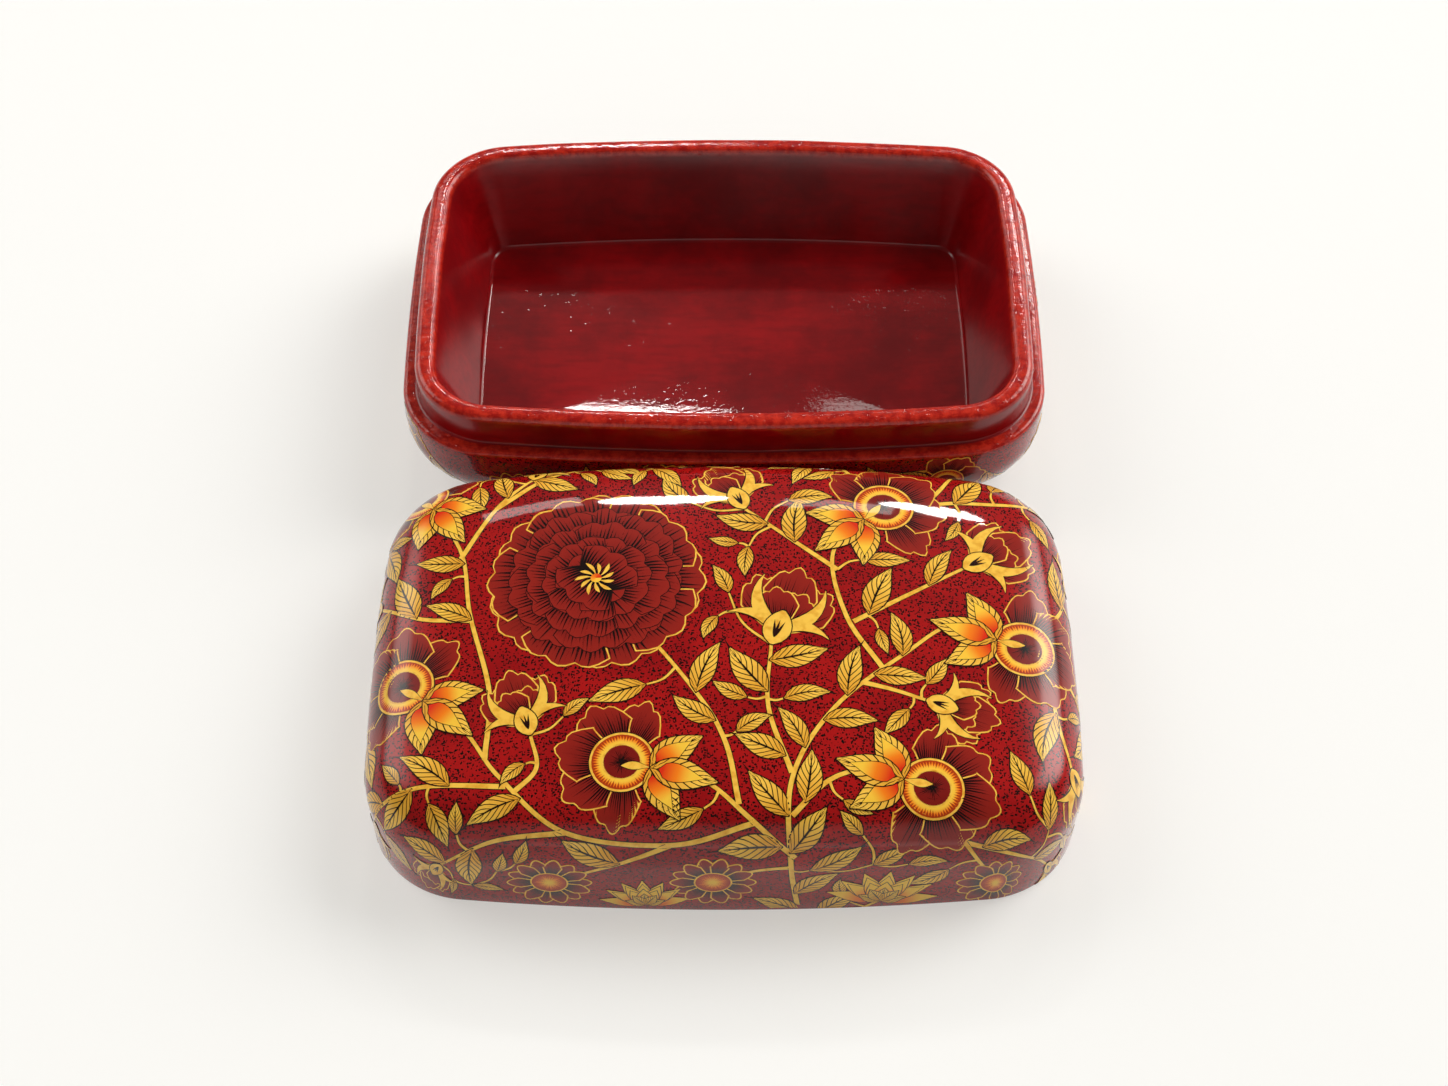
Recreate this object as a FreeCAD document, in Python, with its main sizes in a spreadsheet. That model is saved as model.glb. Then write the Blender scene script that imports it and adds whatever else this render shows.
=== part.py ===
import FreeCAD, Part
import math
import os
import Sketcher

# A lacquered papier mache box: a tray with a neck band and a floor board inside it, and a domed lid.
# The lid is taken off and lies on the same table in front of the tray.
# Millimetres, +Z up. The origin is the middle of the tray's underside, and the front is towards -Y.

# Driving dimensions, one cell each
SIZES = {
    # Outline of the tray and the lid, seen from above
    "box_width": 200,
    "box_depth": 134,
    "end_bow_radius": 900,
    "front_bow_radius": 830,
    "corner_radius": 29.5,
    # Tray: height up to the ledge, its wall, which is also the ledge's width, and its rounded edges
    "tray_height": 29,
    "tray_wall": 5,
    "tray_bottom": 6,
    "foot_radius": 20,
    "ledge_edge_radius": 1.5,
    # Glue between the tray, the band and the board
    "glue_line": 0.15,
    # Neck band: how far it stands above the ledge, its thickness at the top,
    # and how far the inside wall leans in between the top and the floor
    "neck_height": 11.4,
    "neck_wall": 5.6,
    "neck_edge_radius": 2,
    "inside_lean": 11.9,
    # Floor board
    "board_thickness": 3,
    # Lid: height in the middle, its wall at the top, the rounding of its shoulder and its dome,
    # and its slip fit over the neck
    "lid_height": 42,
    "lid_top_wall": 4.6,
    "shoulder_radius": 16,
    "dome_radius": 900,
    "rim_edge_radius": 1.2,
    "lid_slip": 0.4,
    # Gap between the tray and the lid that lies in front of it
    "lid_gap": 0.5,
    # How far cuts run past what they cut
    "overrun": 5,
}

# Two lengths closer than this are the same length
SAME = 1e-4
FULL_TURN = 360
MIDDLE_SHARE = 0.5

# Derived places, as expressions of the cells
NECK_OUTER_INSET = "sizes.tray_wall + sizes.glue_line"
NECK_INNER_INSET = NECK_OUTER_INSET + " + sizes.neck_wall"
FLOOR_INSET = NECK_INNER_INSET + " + sizes.inside_lean"
BOARD_INSET = FLOOR_INSET + " + sizes.glue_line"
SEAT_HEIGHT = "sizes.tray_bottom + sizes.glue_line"
FLOOR_HEIGHT = SEAT_HEIGHT + " + sizes.board_thickness"
NECK_TOP = "sizes.tray_height + sizes.neck_height"
LID_INNER_INSET = NECK_OUTER_INSET + " - sizes.lid_slip"
LID_CEILING = "sizes.lid_height - sizes.lid_top_wall"
LID_PLACE_Y = "-(sizes.box_depth + sizes.lid_gap)"
PLAN_REACH = "hypot(sizes.box_width / 2 + sizes.overrun; sizes.box_depth / 2 + sizes.overrun)"

doc = FreeCAD.newDocument("papier_mache_box")
sheet = doc.addObject("Spreadsheet::Sheet", "sizes")
for row, (name, value) in enumerate(SIZES.items(), start=1):
    sheet.set(f"A{row}", name)
    sheet.set(f"B{row}", str(value))
    sheet.setAlias(f"B{row}", name)
doc.recompute()


def length(expression):
    return float(sheet.evalExpression(expression))


class Outline:
    """The outline at an inset: bowed ends and sides joined by tangent corner arcs about fixed centres."""

    def __init__(self, inset):
        self.end_centre = FreeCAD.Vector(length("sizes.box_width / 2 - sizes.end_bow_radius"), 0, 0)
        self.front_centre = FreeCAD.Vector(0, length("sizes.box_depth / 2 - sizes.front_bow_radius"), 0)
        self.end_radius = length("sizes.end_bow_radius") - inset
        self.front_radius = length("sizes.front_bow_radius") - inset
        self.corner_radius = length("sizes.corner_radius") - inset
        self.corner_centre = self.find_corner_centre()
        from_end = self.corner_centre - self.end_centre
        from_front = self.corner_centre - self.front_centre
        self.end_angle = math.atan2(from_end.y, from_end.x)
        self.front_angle = math.atan2(from_front.y, from_front.x)

    def find_corner_centre(self):
        reach_end = self.end_radius - self.corner_radius
        reach_front = self.front_radius - self.corner_radius
        apart = self.front_centre - self.end_centre
        along = (reach_end ** 2 - reach_front ** 2 + apart.Length ** 2) / (2 * apart.Length)
        across = math.sqrt(reach_end ** 2 - along ** 2)
        direction = apart / apart.Length
        square = FreeCAD.Vector(-direction.y, direction.x, 0)
        return self.end_centre + direction * along + square * across

    def arcs(self):
        """Centre, radius and angles of the eight arcs, anticlockwise from the right end."""
        half = math.pi
        end, front = self.end_angle, self.front_angle
        near = FreeCAD.Vector(self.corner_centre)
        flip_x = FreeCAD.Vector(-near.x, near.y, 0)
        flip_y = FreeCAD.Vector(near.x, -near.y, 0)
        return [
            (self.end_centre, self.end_radius, -end, end),
            (near, self.corner_radius, end, front),
            (self.front_centre, self.front_radius, front, half - front),
            (flip_x, self.corner_radius, half - front, half - end),
            (-self.end_centre, self.end_radius, half - end, half + end),
            (-near, self.corner_radius, half + end, half + front),
            (-self.front_centre, self.front_radius, half + front, 2 * half - front),
            (flip_y, self.corner_radius, 2 * half - front, 2 * half - end),
        ]

    def inset_of(self, point):
        """How far a point lies inside this outline, seen from above."""
        folded = FreeCAD.Vector(abs(point.x), abs(point.y), 0)
        from_end = folded - self.end_centre
        from_front = folded - self.front_centre
        if math.atan2(from_end.y, from_end.x) <= self.end_angle:
            return self.end_radius - from_end.Length
        if math.atan2(from_front.y, from_front.x) >= self.front_angle:
            return self.front_radius - from_front.Length
        return self.corner_radius - (folded - self.corner_centre).Length


def new_body(name, place_y="0"):
    body = doc.addObject("PartDesign::Body", name)
    body.Label = name
    body.setExpression("Placement.Base.y", place_y)
    doc.recompute()
    return body


def new_sketch(body, name, plane, height="0"):
    sketch = body.newObject("Sketcher::SketchObject", name)
    support = next(feature for feature in body.Origin.OriginFeatures if feature.Role == plane)
    sketch.AttachmentSupport = [(support, "")]
    sketch.MapMode = "FlatFace"
    sketch.setExpression("AttachmentOffset.Base.z", height)
    return sketch


def bind(sketch, name, constraint, expression):
    index = sketch.addConstraint(constraint)
    sketch.renameConstraint(index, name)
    sketch.setExpression("Constraints." + name, expression)


def outline_sketch(body, name, inset, height="0"):
    """The outline at an inset, level at a height, driven by the cells."""
    sketch = new_sketch(body, name, "XY_Plane", height)
    shape = Outline(length(inset))
    up = FreeCAD.Vector(0, 0, 1)
    for centre, radius, start, end in shape.arcs():
        sketch.addGeometry(Part.ArcOfCircle(Part.Circle(centre, up, radius), start, end), False)
    count = len(shape.arcs())
    start_point, end_point, centre_point = 1, 2, 3
    origin, x_axis, y_axis = -1, -1, -2
    right, corner, back, left, front = 0, 1, 2, 4, 6
    for arc in range(count):
        sketch.addConstraint(Sketcher.Constraint("Tangent", arc, end_point, (arc + 1) % count, start_point))
    for arc in (right, left):
        sketch.addConstraint(Sketcher.Constraint("PointOnObject", arc, centre_point, x_axis))
    for arc in (back, front):
        sketch.addConstraint(Sketcher.Constraint("PointOnObject", arc, centre_point, y_axis))
    for first, second in ((right, left), (back, front), (corner, 3), (corner, 5), (corner, 7)):
        sketch.addConstraint(Sketcher.Constraint("Equal", first, second))
    bind(sketch, "end_radius", Sketcher.Constraint("Radius", right, shape.end_radius),
         f"sizes.end_bow_radius - ({inset})")
    bind(sketch, "front_radius", Sketcher.Constraint("Radius", back, shape.front_radius),
         f"sizes.front_bow_radius - ({inset})")
    bind(sketch, "corner_radius", Sketcher.Constraint("Radius", corner, shape.corner_radius),
         f"sizes.corner_radius - ({inset})")
    end_reach = "sizes.end_bow_radius - sizes.box_width / 2"
    front_reach = "sizes.front_bow_radius - sizes.box_depth / 2"
    bind(sketch, "right_centre",
         Sketcher.Constraint("DistanceX", right, centre_point, origin, start_point, length(end_reach)), end_reach)
    bind(sketch, "left_centre",
         Sketcher.Constraint("DistanceX", origin, start_point, left, centre_point, length(end_reach)), end_reach)
    bind(sketch, "back_centre",
         Sketcher.Constraint("DistanceY", back, centre_point, origin, start_point, length(front_reach)),
         front_reach)
    bind(sketch, "front_centre",
         Sketcher.Constraint("DistanceY", origin, start_point, front, centre_point, length(front_reach)),
         front_reach)
    return sketch


def pad(body, sketch, name, height):
    feature = body.newObject("PartDesign::Pad", name)
    feature.Profile = sketch
    feature.setExpression("Length", height)
    doc.recompute()
    return feature


def pocket(body, sketch, name, depth):
    feature = body.newObject("PartDesign::Pocket", name)
    feature.Profile = sketch
    feature.setExpression("Length", depth)
    doc.recompute()
    return feature


def edges_along(feature, inset, low, high):
    """Names of the edges that follow the outline at an inset, between two heights."""
    outer = Outline(0)
    names = []
    for number, edge in enumerate(feature.Shape.Edges, start=1):
        first, last = edge.ParameterRange
        middle = first + (last - first) * MIDDLE_SHARE
        points = [edge.valueAt(parameter) for parameter in (first, middle, last)]
        follows = all(abs(outer.inset_of(point) - inset) < SAME for point in points)
        between = all(low - SAME < point.z < high + SAME for point in points)
        upright = math.hypot(points[0].x - points[-1].x, points[0].y - points[-1].y) < SAME
        if follows and between and not upright:
            names.append(f"Edge{number}")
    return names


def round_edges(body, base, name, radius, inset, low, high=None):
    """Round the edges that follow the outline at an inset, at one height or between two."""
    low_height = length(low)
    high_height = length(high or low)
    names = edges_along(base, length(inset), low_height, high_height)
    feature = body.newObject("PartDesign::Fillet", name)
    feature.Base = (base, names)
    feature.setExpression("Radius", radius)
    doc.recompute()
    return feature


def make_tray():
    body = new_body("base_shell")
    block = pad(body, outline_sketch(body, "tray_outline", "0"), "tray_block", "sizes.tray_height")
    inside = outline_sketch(body, "tray_inside", "sizes.tray_wall", "sizes.tray_height")
    hollow = pocket(body, inside, "tray_hollow", "sizes.tray_height - sizes.tray_bottom")
    coved = round_edges(body, hollow, "tray_cove", "sizes.foot_radius - sizes.tray_wall",
                        "sizes.tray_wall", "sizes.tray_bottom")
    footed = round_edges(body, coved, "tray_foot", "sizes.foot_radius", "0", "0")
    round_edges(body, footed, "ledge_edge", "sizes.ledge_edge_radius", "0", "sizes.tray_height")
    return body


def make_neck_band():
    body = new_body("neck_liner")
    outline = outline_sketch(body, "band_outline", NECK_OUTER_INSET, SEAT_HEIGHT)
    block = pad(body, outline, "band_block", f"{NECK_TOP} - ({SEAT_HEIGHT})")
    round_edges(body, block, "band_foot", f"sizes.foot_radius - ({NECK_OUTER_INSET})",
                NECK_OUTER_INSET, SEAT_HEIGHT)
    board_hole = outline_sketch(body, "board_hole_outline", FLOOR_INSET, NECK_TOP)
    pocket(body, board_hole, "board_hole", f"{NECK_TOP} - ({SEAT_HEIGHT}) + sizes.overrun")
    lean = body.newObject("PartDesign::SubtractiveLoft", "leaning_wall")
    lean.Profile = outline_sketch(body, "wall_at_floor", FLOOR_INSET, FLOOR_HEIGHT)
    lean.Sections = [outline_sketch(body, "wall_at_top", NECK_INNER_INSET, NECK_TOP)]
    lean.Ruled = True
    doc.recompute()
    outer_edge = round_edges(body, lean, "neck_outer_edge", "sizes.neck_edge_radius", NECK_OUTER_INSET, NECK_TOP)
    round_edges(body, outer_edge, "neck_inner_edge", "sizes.neck_edge_radius", NECK_INNER_INSET, NECK_TOP)
    return body


def make_floor_board():
    body = new_body("floor_board")
    pad(body, outline_sketch(body, "board_outline", BOARD_INSET, SEAT_HEIGHT), "board", "sizes.board_thickness")
    return body


def cushion(body, inset, height, dome, shoulder):
    """A domed block with a rounded shoulder: the lid's outside, or the hollow inside it."""
    prefix = body.Name
    block = pad(body, outline_sketch(body, prefix + "_outline", inset), prefix + "_block", height)
    section = new_sketch(body, prefix + "_dome_section", "XZ_Plane")
    top = length(height)
    radius = length(dome)
    reach = length(PLAN_REACH)
    drop = radius - math.sqrt(radius ** 2 - reach ** 2)
    over = top + length("sizes.overrun")
    peak = FreeCAD.Vector(0, top, 0)
    edge = FreeCAD.Vector(reach, top - drop, 0)
    above_edge = FreeCAD.Vector(reach, over, 0)
    above_peak = FreeCAD.Vector(0, over, 0)
    circle = Part.Circle(FreeCAD.Vector(0, top - radius, 0), FreeCAD.Vector(0, 0, 1), radius)
    quarter = math.pi / 2
    section.addGeometry(Part.ArcOfCircle(circle, quarter - math.asin(reach / radius), quarter), False)
    section.addGeometry(Part.LineSegment(peak, above_peak), False)
    section.addGeometry(Part.LineSegment(above_peak, above_edge), False)
    section.addGeometry(Part.LineSegment(above_edge, edge), False)
    arc, axis_line, top_line, side_line = range(4)
    start_point, end_point, centre_point = 1, 2, 3
    origin, y_axis = -1, -2
    for first, first_end, second, second_end in (
            (arc, end_point, axis_line, start_point),
            (axis_line, end_point, top_line, start_point),
            (top_line, end_point, side_line, start_point),
            (side_line, end_point, arc, start_point)):
        section.addConstraint(Sketcher.Constraint("Coincident", first, first_end, second, second_end))
    section.addConstraint(Sketcher.Constraint("PointOnObject", arc, centre_point, y_axis))
    section.addConstraint(Sketcher.Constraint("PointOnObject", arc, end_point, y_axis))
    section.addConstraint(Sketcher.Constraint("Vertical", axis_line))
    section.addConstraint(Sketcher.Constraint("Horizontal", top_line))
    section.addConstraint(Sketcher.Constraint("Vertical", side_line))
    bind(section, "dome_radius", Sketcher.Constraint("Radius", arc, radius), dome)
    bind(section, "peak_height",
         Sketcher.Constraint("DistanceY", origin, start_point, arc, end_point, top), height)
    bind(section, "overrun", Sketcher.Constraint("DistanceY", axis_line, start_point, axis_line, end_point,
                                                 length("sizes.overrun")), "sizes.overrun")
    bind(section, "reach", Sketcher.Constraint("DistanceX", top_line, start_point, top_line, end_point, reach),
         PLAN_REACH)
    doc.recompute()
    domed = body.newObject("PartDesign::Groove", prefix + "_dome")
    domed.Profile = section
    domed.ReferenceAxis = (section, ["V_Axis"])
    domed.Angle = FULL_TURN
    doc.recompute()
    return round_edges(body, domed, prefix + "_shoulder", shoulder, inset, "sizes.neck_height", height)


def make_lid():
    hollow = new_body("lid_hollow")
    cushion(hollow, LID_INNER_INSET, LID_CEILING, "sizes.dome_radius - sizes.lid_top_wall",
            "sizes.shoulder_radius - sizes.lid_top_wall")
    body = new_body("lid_shell", LID_PLACE_Y)
    cushion(body, "0", "sizes.lid_height", "sizes.dome_radius", "sizes.shoulder_radius")
    hollowed = body.newObject("PartDesign::Boolean", "lid_hollowed")
    hollowed.Type = "Cut"
    hollowed.setObjects([hollow])
    doc.recompute()
    round_edges(body, hollowed, "rim_outer_edge", "sizes.rim_edge_radius", "0", "0")
    return body


pieces = [make_tray(), make_neck_band(), make_floor_board(), make_lid()]
doc.recompute()

for item in doc.Objects:
    if "Invalid" in item.State or "Error" in item.State:
        raise RuntimeError(f"{item.Name} failed: {item.State}")
for piece in pieces:
    if piece.Shape.isNull() or not piece.Shape.isValid() or len(piece.Shape.Solids) != 1:
        raise RuntimeError(f"{piece.Label} is not one valid solid")

os.makedirs("parts", exist_ok=True)
for piece in pieces:
    piece.Shape.exportStep(f"parts/{piece.Label}.step")
    box = piece.Shape.optimalBoundingBox(False)
    print(f"{piece.Label}: {piece.Shape.Volume:.0f} mm3, z {box.ZMin:.2f} to {box.ZMax:.2f}, "
          f"y {box.YMin:.2f} to {box.YMax:.2f}, x {box.XMin:.2f} to {box.XMax:.2f}")
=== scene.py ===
import bmesh
import bpy
import math
import numpy as np
from functools import partial
from mathutils import Matrix, Vector, noise


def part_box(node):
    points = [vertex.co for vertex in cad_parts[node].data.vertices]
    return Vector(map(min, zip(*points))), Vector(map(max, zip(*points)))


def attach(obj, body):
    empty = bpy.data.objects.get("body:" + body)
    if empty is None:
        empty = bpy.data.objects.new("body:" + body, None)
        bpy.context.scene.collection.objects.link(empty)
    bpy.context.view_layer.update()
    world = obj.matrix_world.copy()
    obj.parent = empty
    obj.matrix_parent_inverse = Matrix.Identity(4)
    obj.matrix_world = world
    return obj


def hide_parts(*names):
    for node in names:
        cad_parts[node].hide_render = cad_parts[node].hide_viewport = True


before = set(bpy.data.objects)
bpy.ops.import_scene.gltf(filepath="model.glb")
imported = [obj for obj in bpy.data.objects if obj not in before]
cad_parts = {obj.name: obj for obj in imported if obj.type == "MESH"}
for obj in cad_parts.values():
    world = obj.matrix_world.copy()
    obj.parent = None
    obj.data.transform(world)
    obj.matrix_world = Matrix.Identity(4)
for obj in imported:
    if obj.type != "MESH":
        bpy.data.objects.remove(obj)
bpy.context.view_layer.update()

# Sizes from the frame, in metres
_, tray_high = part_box("base_shell")
neck_low, neck_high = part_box("neck_liner")
_, board_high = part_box("floor_board")
lid_low, lid_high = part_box("lid_shell")
BOX_WIDTH = lid_high.x - lid_low.x
BOX_DEPTH = lid_high.y - lid_low.y
LEDGE_HEIGHT = tray_high.z
NECK_TOP = neck_high.z
BAND_FOOT = neck_low.z
FLOOR_HEIGHT = board_high.z
LID_TOP = lid_high.z
LID_MIDDLE_Y = (lid_low.y + lid_high.y) / 2

# Sizes of the form, as in the solids
END_BOW_RADIUS = 0.900
FRONT_BOW_RADIUS = 0.830
CORNER_RADIUS = 0.0295
TRAY_WALL = 0.005
TRAY_BOTTOM = 0.006
FOOT_RADIUS = 0.020
LEDGE_EDGE_RADIUS = 0.0015
NECK_INSET = 0.00515
NECK_WALL = 0.0056
NECK_EDGE_RADIUS = 0.0022
INSIDE_LEAN = 0.0119
FLOOR_COVE = 0.0016
SHOULDER_RADIUS = 0.016
DOME_RADIUS = 0.900
LID_WALL = 0.00475
LID_TOP_WALL = 0.0046
RIM_EDGE_RADIUS = 0.0012

# The lid's top falls away this much more at its edge than in the solid
EDGE_FALL = 0.0009

# Paint lies in thin coats on a ground that is held this far inside the solids
GROUND_DEPTH = 0.0006
FIRST_COAT = 0.000045
COAT = 0.000007
SUNK = 0.00005

QUARTER_TURN = math.pi / 2
FULL_TURN = 2 * math.pi
SMOOTH_ANGLE = math.radians(40)


class Outline:
    """The box seen from above: bowed ends, front and back, joined by tangent corner arcs."""

    END_STEPS = 22
    CORNER_STEPS = 32
    FRONT_STEPS = 34

    def __init__(self):
        self.end = np.array([BOX_WIDTH / 2 - END_BOW_RADIUS, 0.0])
        self.front = np.array([0.0, BOX_DEPTH / 2 - FRONT_BOW_RADIUS])
        reach_end = END_BOW_RADIUS - CORNER_RADIUS
        reach_front = FRONT_BOW_RADIUS - CORNER_RADIUS
        apart = self.front - self.end
        span = np.linalg.norm(apart)
        along = (reach_end ** 2 - reach_front ** 2 + span ** 2) / (2 * span)
        across = math.sqrt(reach_end ** 2 - along ** 2)
        way = apart / span
        self.corner = self.end + along * way + across * np.array([-way[1], way[0]])
        self.end_angle = math.atan2(*(self.corner - self.end)[::-1])
        self.front_angle = math.atan2(*(self.corner - self.front)[::-1])
        self.ring_arcs = self.arcs_at(self.ring_angles())

    def ring_angles(self):
        """Directions of the outline's normals all round, at the middle of each step."""
        end, front = self.end_angle, self.front_angle
        spans = [(-end, end, self.END_STEPS), (end, front, self.CORNER_STEPS),
                 (front, math.pi - front, self.FRONT_STEPS),
                 (math.pi - front, math.pi - end, self.CORNER_STEPS)]
        half = np.concatenate([first + (last - first) * (np.arange(steps) + 0.5) / steps
                               for first, last, steps in spans])
        return np.concatenate([half, half + math.pi])

    def arc(self, angle, sign):
        """Centre, radius and outward normal for normals folded into the first quarter."""
        on_end = angle <= self.end_angle
        on_front = angle >= self.front_angle
        centre = np.where(on_end[:, None], self.end, np.where(on_front[:, None], self.front, self.corner))
        radius = np.where(on_end, END_BOW_RADIUS, np.where(on_front, FRONT_BOW_RADIUS, CORNER_RADIUS))
        outward = np.stack([np.cos(angle), np.sin(angle)], axis=1)
        return centre * sign, radius, outward * sign

    def arcs_at(self, angles):
        way = np.stack([np.cos(angles), np.sin(angles)], axis=1)
        return self.arc(np.arctan2(abs(way[:, 1]), abs(way[:, 0])), np.where(way < 0, -1.0, 1.0))

    def arcs_near(self, plan):
        """The arc that each place belongs to, and how far inside the outline the place is."""
        sign = np.where(plan < 0, -1.0, 1.0)
        folded = abs(plan)
        from_end, from_front, from_corner = [
            np.arctan2(folded[:, 1] - middle[1], folded[:, 0] - middle[0])
            for middle in (self.end, self.front, self.corner)]
        angle = np.where(from_end <= self.end_angle, from_end,
                         np.where(from_front >= self.front_angle, from_front, from_corner))
        arcs = self.arc(angle, sign)
        return arcs, arcs[1] - np.linalg.norm(plan - arcs[0], axis=1)

    def ring(self, inset):
        centre, radius, outward = self.ring_arcs
        return centre + (radius - inset)[:, None] * outward


outline = Outline()


def wobble(points, depth, length):
    """Slow unevenness of a form pressed by hand."""
    return np.array([noise.noise(Vector(point / length)) for point in points]) * depth


class Cushion:
    """A domed form with a rounded shoulder: the lid's outside or its inside, with flat places laid on it."""

    WOBBLE_DEPTH = 0.00016
    WOBBLE_LENGTH = 0.034
    FALL_POWER = 5.0
    CORNER_POWER = 4.5
    NEAR_ZERO = 1e-12
    CONTACT_STEPS = 4

    def __init__(self, inset, top, shoulder, dome, fall):
        self.inset = inset
        self.shoulder = shoulder
        self.dome = dome
        self.dome_middle = top - dome
        self.fall = fall
        self.half = np.array([BOX_WIDTH, BOX_DEPTH]) / 2 - shoulder

    def dome_surface(self, plan):
        """Heights of the dome, which falls away faster towards the shoulder, and its slope outwards."""
        round_height = np.sqrt(self.dome ** 2 - (plan ** 2).sum(axis=1))
        share = abs(plan) / self.half
        reach = ((share ** self.CORNER_POWER).sum(axis=1) + self.NEAR_ZERO) ** (1 / self.CORNER_POWER)
        drop = self.fall * reach ** self.FALL_POWER
        steep = self.fall * self.FALL_POWER * reach ** (self.FALL_POWER - self.CORNER_POWER)
        slope = steep[:, None] * share ** (self.CORNER_POWER - 1) * np.sign(plan) / self.half
        return self.dome_middle + round_height - drop, slope + plan / round_height[:, None]

    def dome_place(self, plan):
        """Points and normals on the dome."""
        height, slope = self.dome_surface(plan)
        normals = np.column_stack([slope, np.ones(len(plan))])
        return np.column_stack([plan, height]), normals / np.linalg.norm(normals, axis=1)[:, None]

    def edge(self, arcs):
        """The ball that rounds the shoulder: its plan, its height, its turn to the dome, where they touch."""
        centre, radius, outward = arcs
        ball = centre + (radius - self.inset - self.shoulder)[:, None] * outward
        contact = ball
        for _ in range(self.CONTACT_STEPS):
            height, slope = self.dome_surface(contact)
            steep = (slope * outward).sum(axis=1)
            lean = steep / np.sqrt(1 + steep ** 2)
            contact = ball + (self.shoulder * lean)[:, None] * outward
        turn = np.arccos(lean)
        height = self.dome_surface(contact)[0] - self.shoulder * np.sin(turn)
        return ball, height, turn, contact

    def shoulder_place(self, arcs, share, drop):
        """Points and normals on the shoulder, from the dome at share 0 to the wall at share 1, and below."""
        outward = arcs[2]
        ball, height, turn, _ = self.edge(arcs)
        swing = turn * (1 - share)
        plan = ball + (self.shoulder * np.cos(swing))[:, None] * outward
        points = np.column_stack([plan, height + self.shoulder * np.sin(swing) - drop])
        normals = np.column_stack([outward * np.cos(swing)[:, None], np.sin(swing)])
        return points, normals

    def settle(self, points, normals):
        points = points + normals * wobble(points, self.WOBBLE_DEPTH, self.WOBBLE_LENGTH)[:, None]
        points[:, 1] += LID_MIDDLE_Y
        return points

    def past_dome(self, plan):
        """Arcs of flat places, their way past the dome, the shoulder's length and the wall's height."""
        arcs, inset = outline.arcs_near(plan)
        _, height, turn, _ = self.edge(arcs)
        past = self.inset + self.shoulder * (1 - np.cos(turn)) - inset
        return arcs, past, self.shoulder * turn, height

    def at(self, plan):
        """Points and normals for flat places, wrapped over the shoulder and down the wall."""
        arcs, past, bend, height = self.past_dome(plan)
        share = np.clip(past / bend, 0, 1)
        drop = np.clip(past - bend, 0, height - RIM_EDGE_RADIUS)
        points, normals = self.shoulder_place(arcs, share, drop)
        on_dome = (past <= 0)[:, None]
        dome_points, dome_normals = self.dome_place(np.where(on_dome, plan, 0))
        points = np.where(on_dome, dome_points, points)
        normals = np.where(on_dome, dome_normals, normals)
        return self.settle(points, normals), normals

    def bends(self, plan):
        """Whether any of the flat places lies at the dome's edge or past it."""
        inset = outline.arcs_near(plan)[1]
        return bool((inset < self.inset + self.shoulder).any())

    def wall_ring(self, share, foot):
        """A ring part of the way up the wall, from its foot to the shoulder."""
        arcs = outline.ring_arcs
        wall_top = self.edge(arcs)[1]
        drop = wall_top - (foot + (wall_top - foot) * share)
        return self.settle(*self.shoulder_place(arcs, np.ones(len(wall_top)), drop))

    def shoulder_ring(self, share):
        arcs = outline.ring_arcs
        shares = np.full(len(arcs[1]), share)
        return self.settle(*self.shoulder_place(arcs, shares, np.zeros(len(shares))))

    def dome_ring(self, share):
        return self.settle(*self.dome_place(self.edge(outline.ring_arcs)[3] * share))


def level_ring(inset, height, middle_y=0.0):
    """The outline at an inset, at one height."""
    ring = outline.ring(inset)
    return np.column_stack([ring[:, 0], ring[:, 1] + middle_y, np.full(len(ring), height)])


def shrunk_ring(ring, share):
    """A ring drawn in towards its own middle."""
    middle = ring.mean(axis=0)
    return middle + (ring - middle) * share


def arc_rings(inset, height, radius, start, end, steps, middle_y=0.0):
    """Rings along a rounded edge about an inset and height. The angle is 0 outwards and a quarter up."""
    return [level_ring(inset - radius * math.cos(angle), height + radius * math.sin(angle), middle_y)
            for angle in np.linspace(start, end, steps)]


def uneven(rings, depth, length):
    """Rings moved in and out a little, as hand-pressed pulp is."""
    moved = []
    for ring in rings:
        shift = wobble(ring, depth, length)[:, None]
        moved.append(ring + shift * np.column_stack([outline.ring_arcs[2], np.zeros(len(ring))]))
    return moved


def deselect():
    if bpy.context.mode != "OBJECT":
        bpy.ops.object.mode_set(mode="OBJECT")
    bpy.ops.object.select_all(action="DESELECT")


def set_ring(piece, ring, middle_y):
    """Move the selected ring of points to its place, in order round the middle."""
    mesh = bmesh.from_edit_mesh(piece.data)
    chosen = [vertex for vertex in mesh.verts if vertex.select]
    chosen.sort(key=lambda vertex: math.atan2(vertex.co.y - middle_y, vertex.co.x))
    order = np.argsort(np.arctan2(ring[:, 1] - middle_y, ring[:, 0]))
    for vertex, point in zip(chosen, ring[order]):
        vertex.co = Vector(point)
    bmesh.update_edit_mesh(piece.data)


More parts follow.
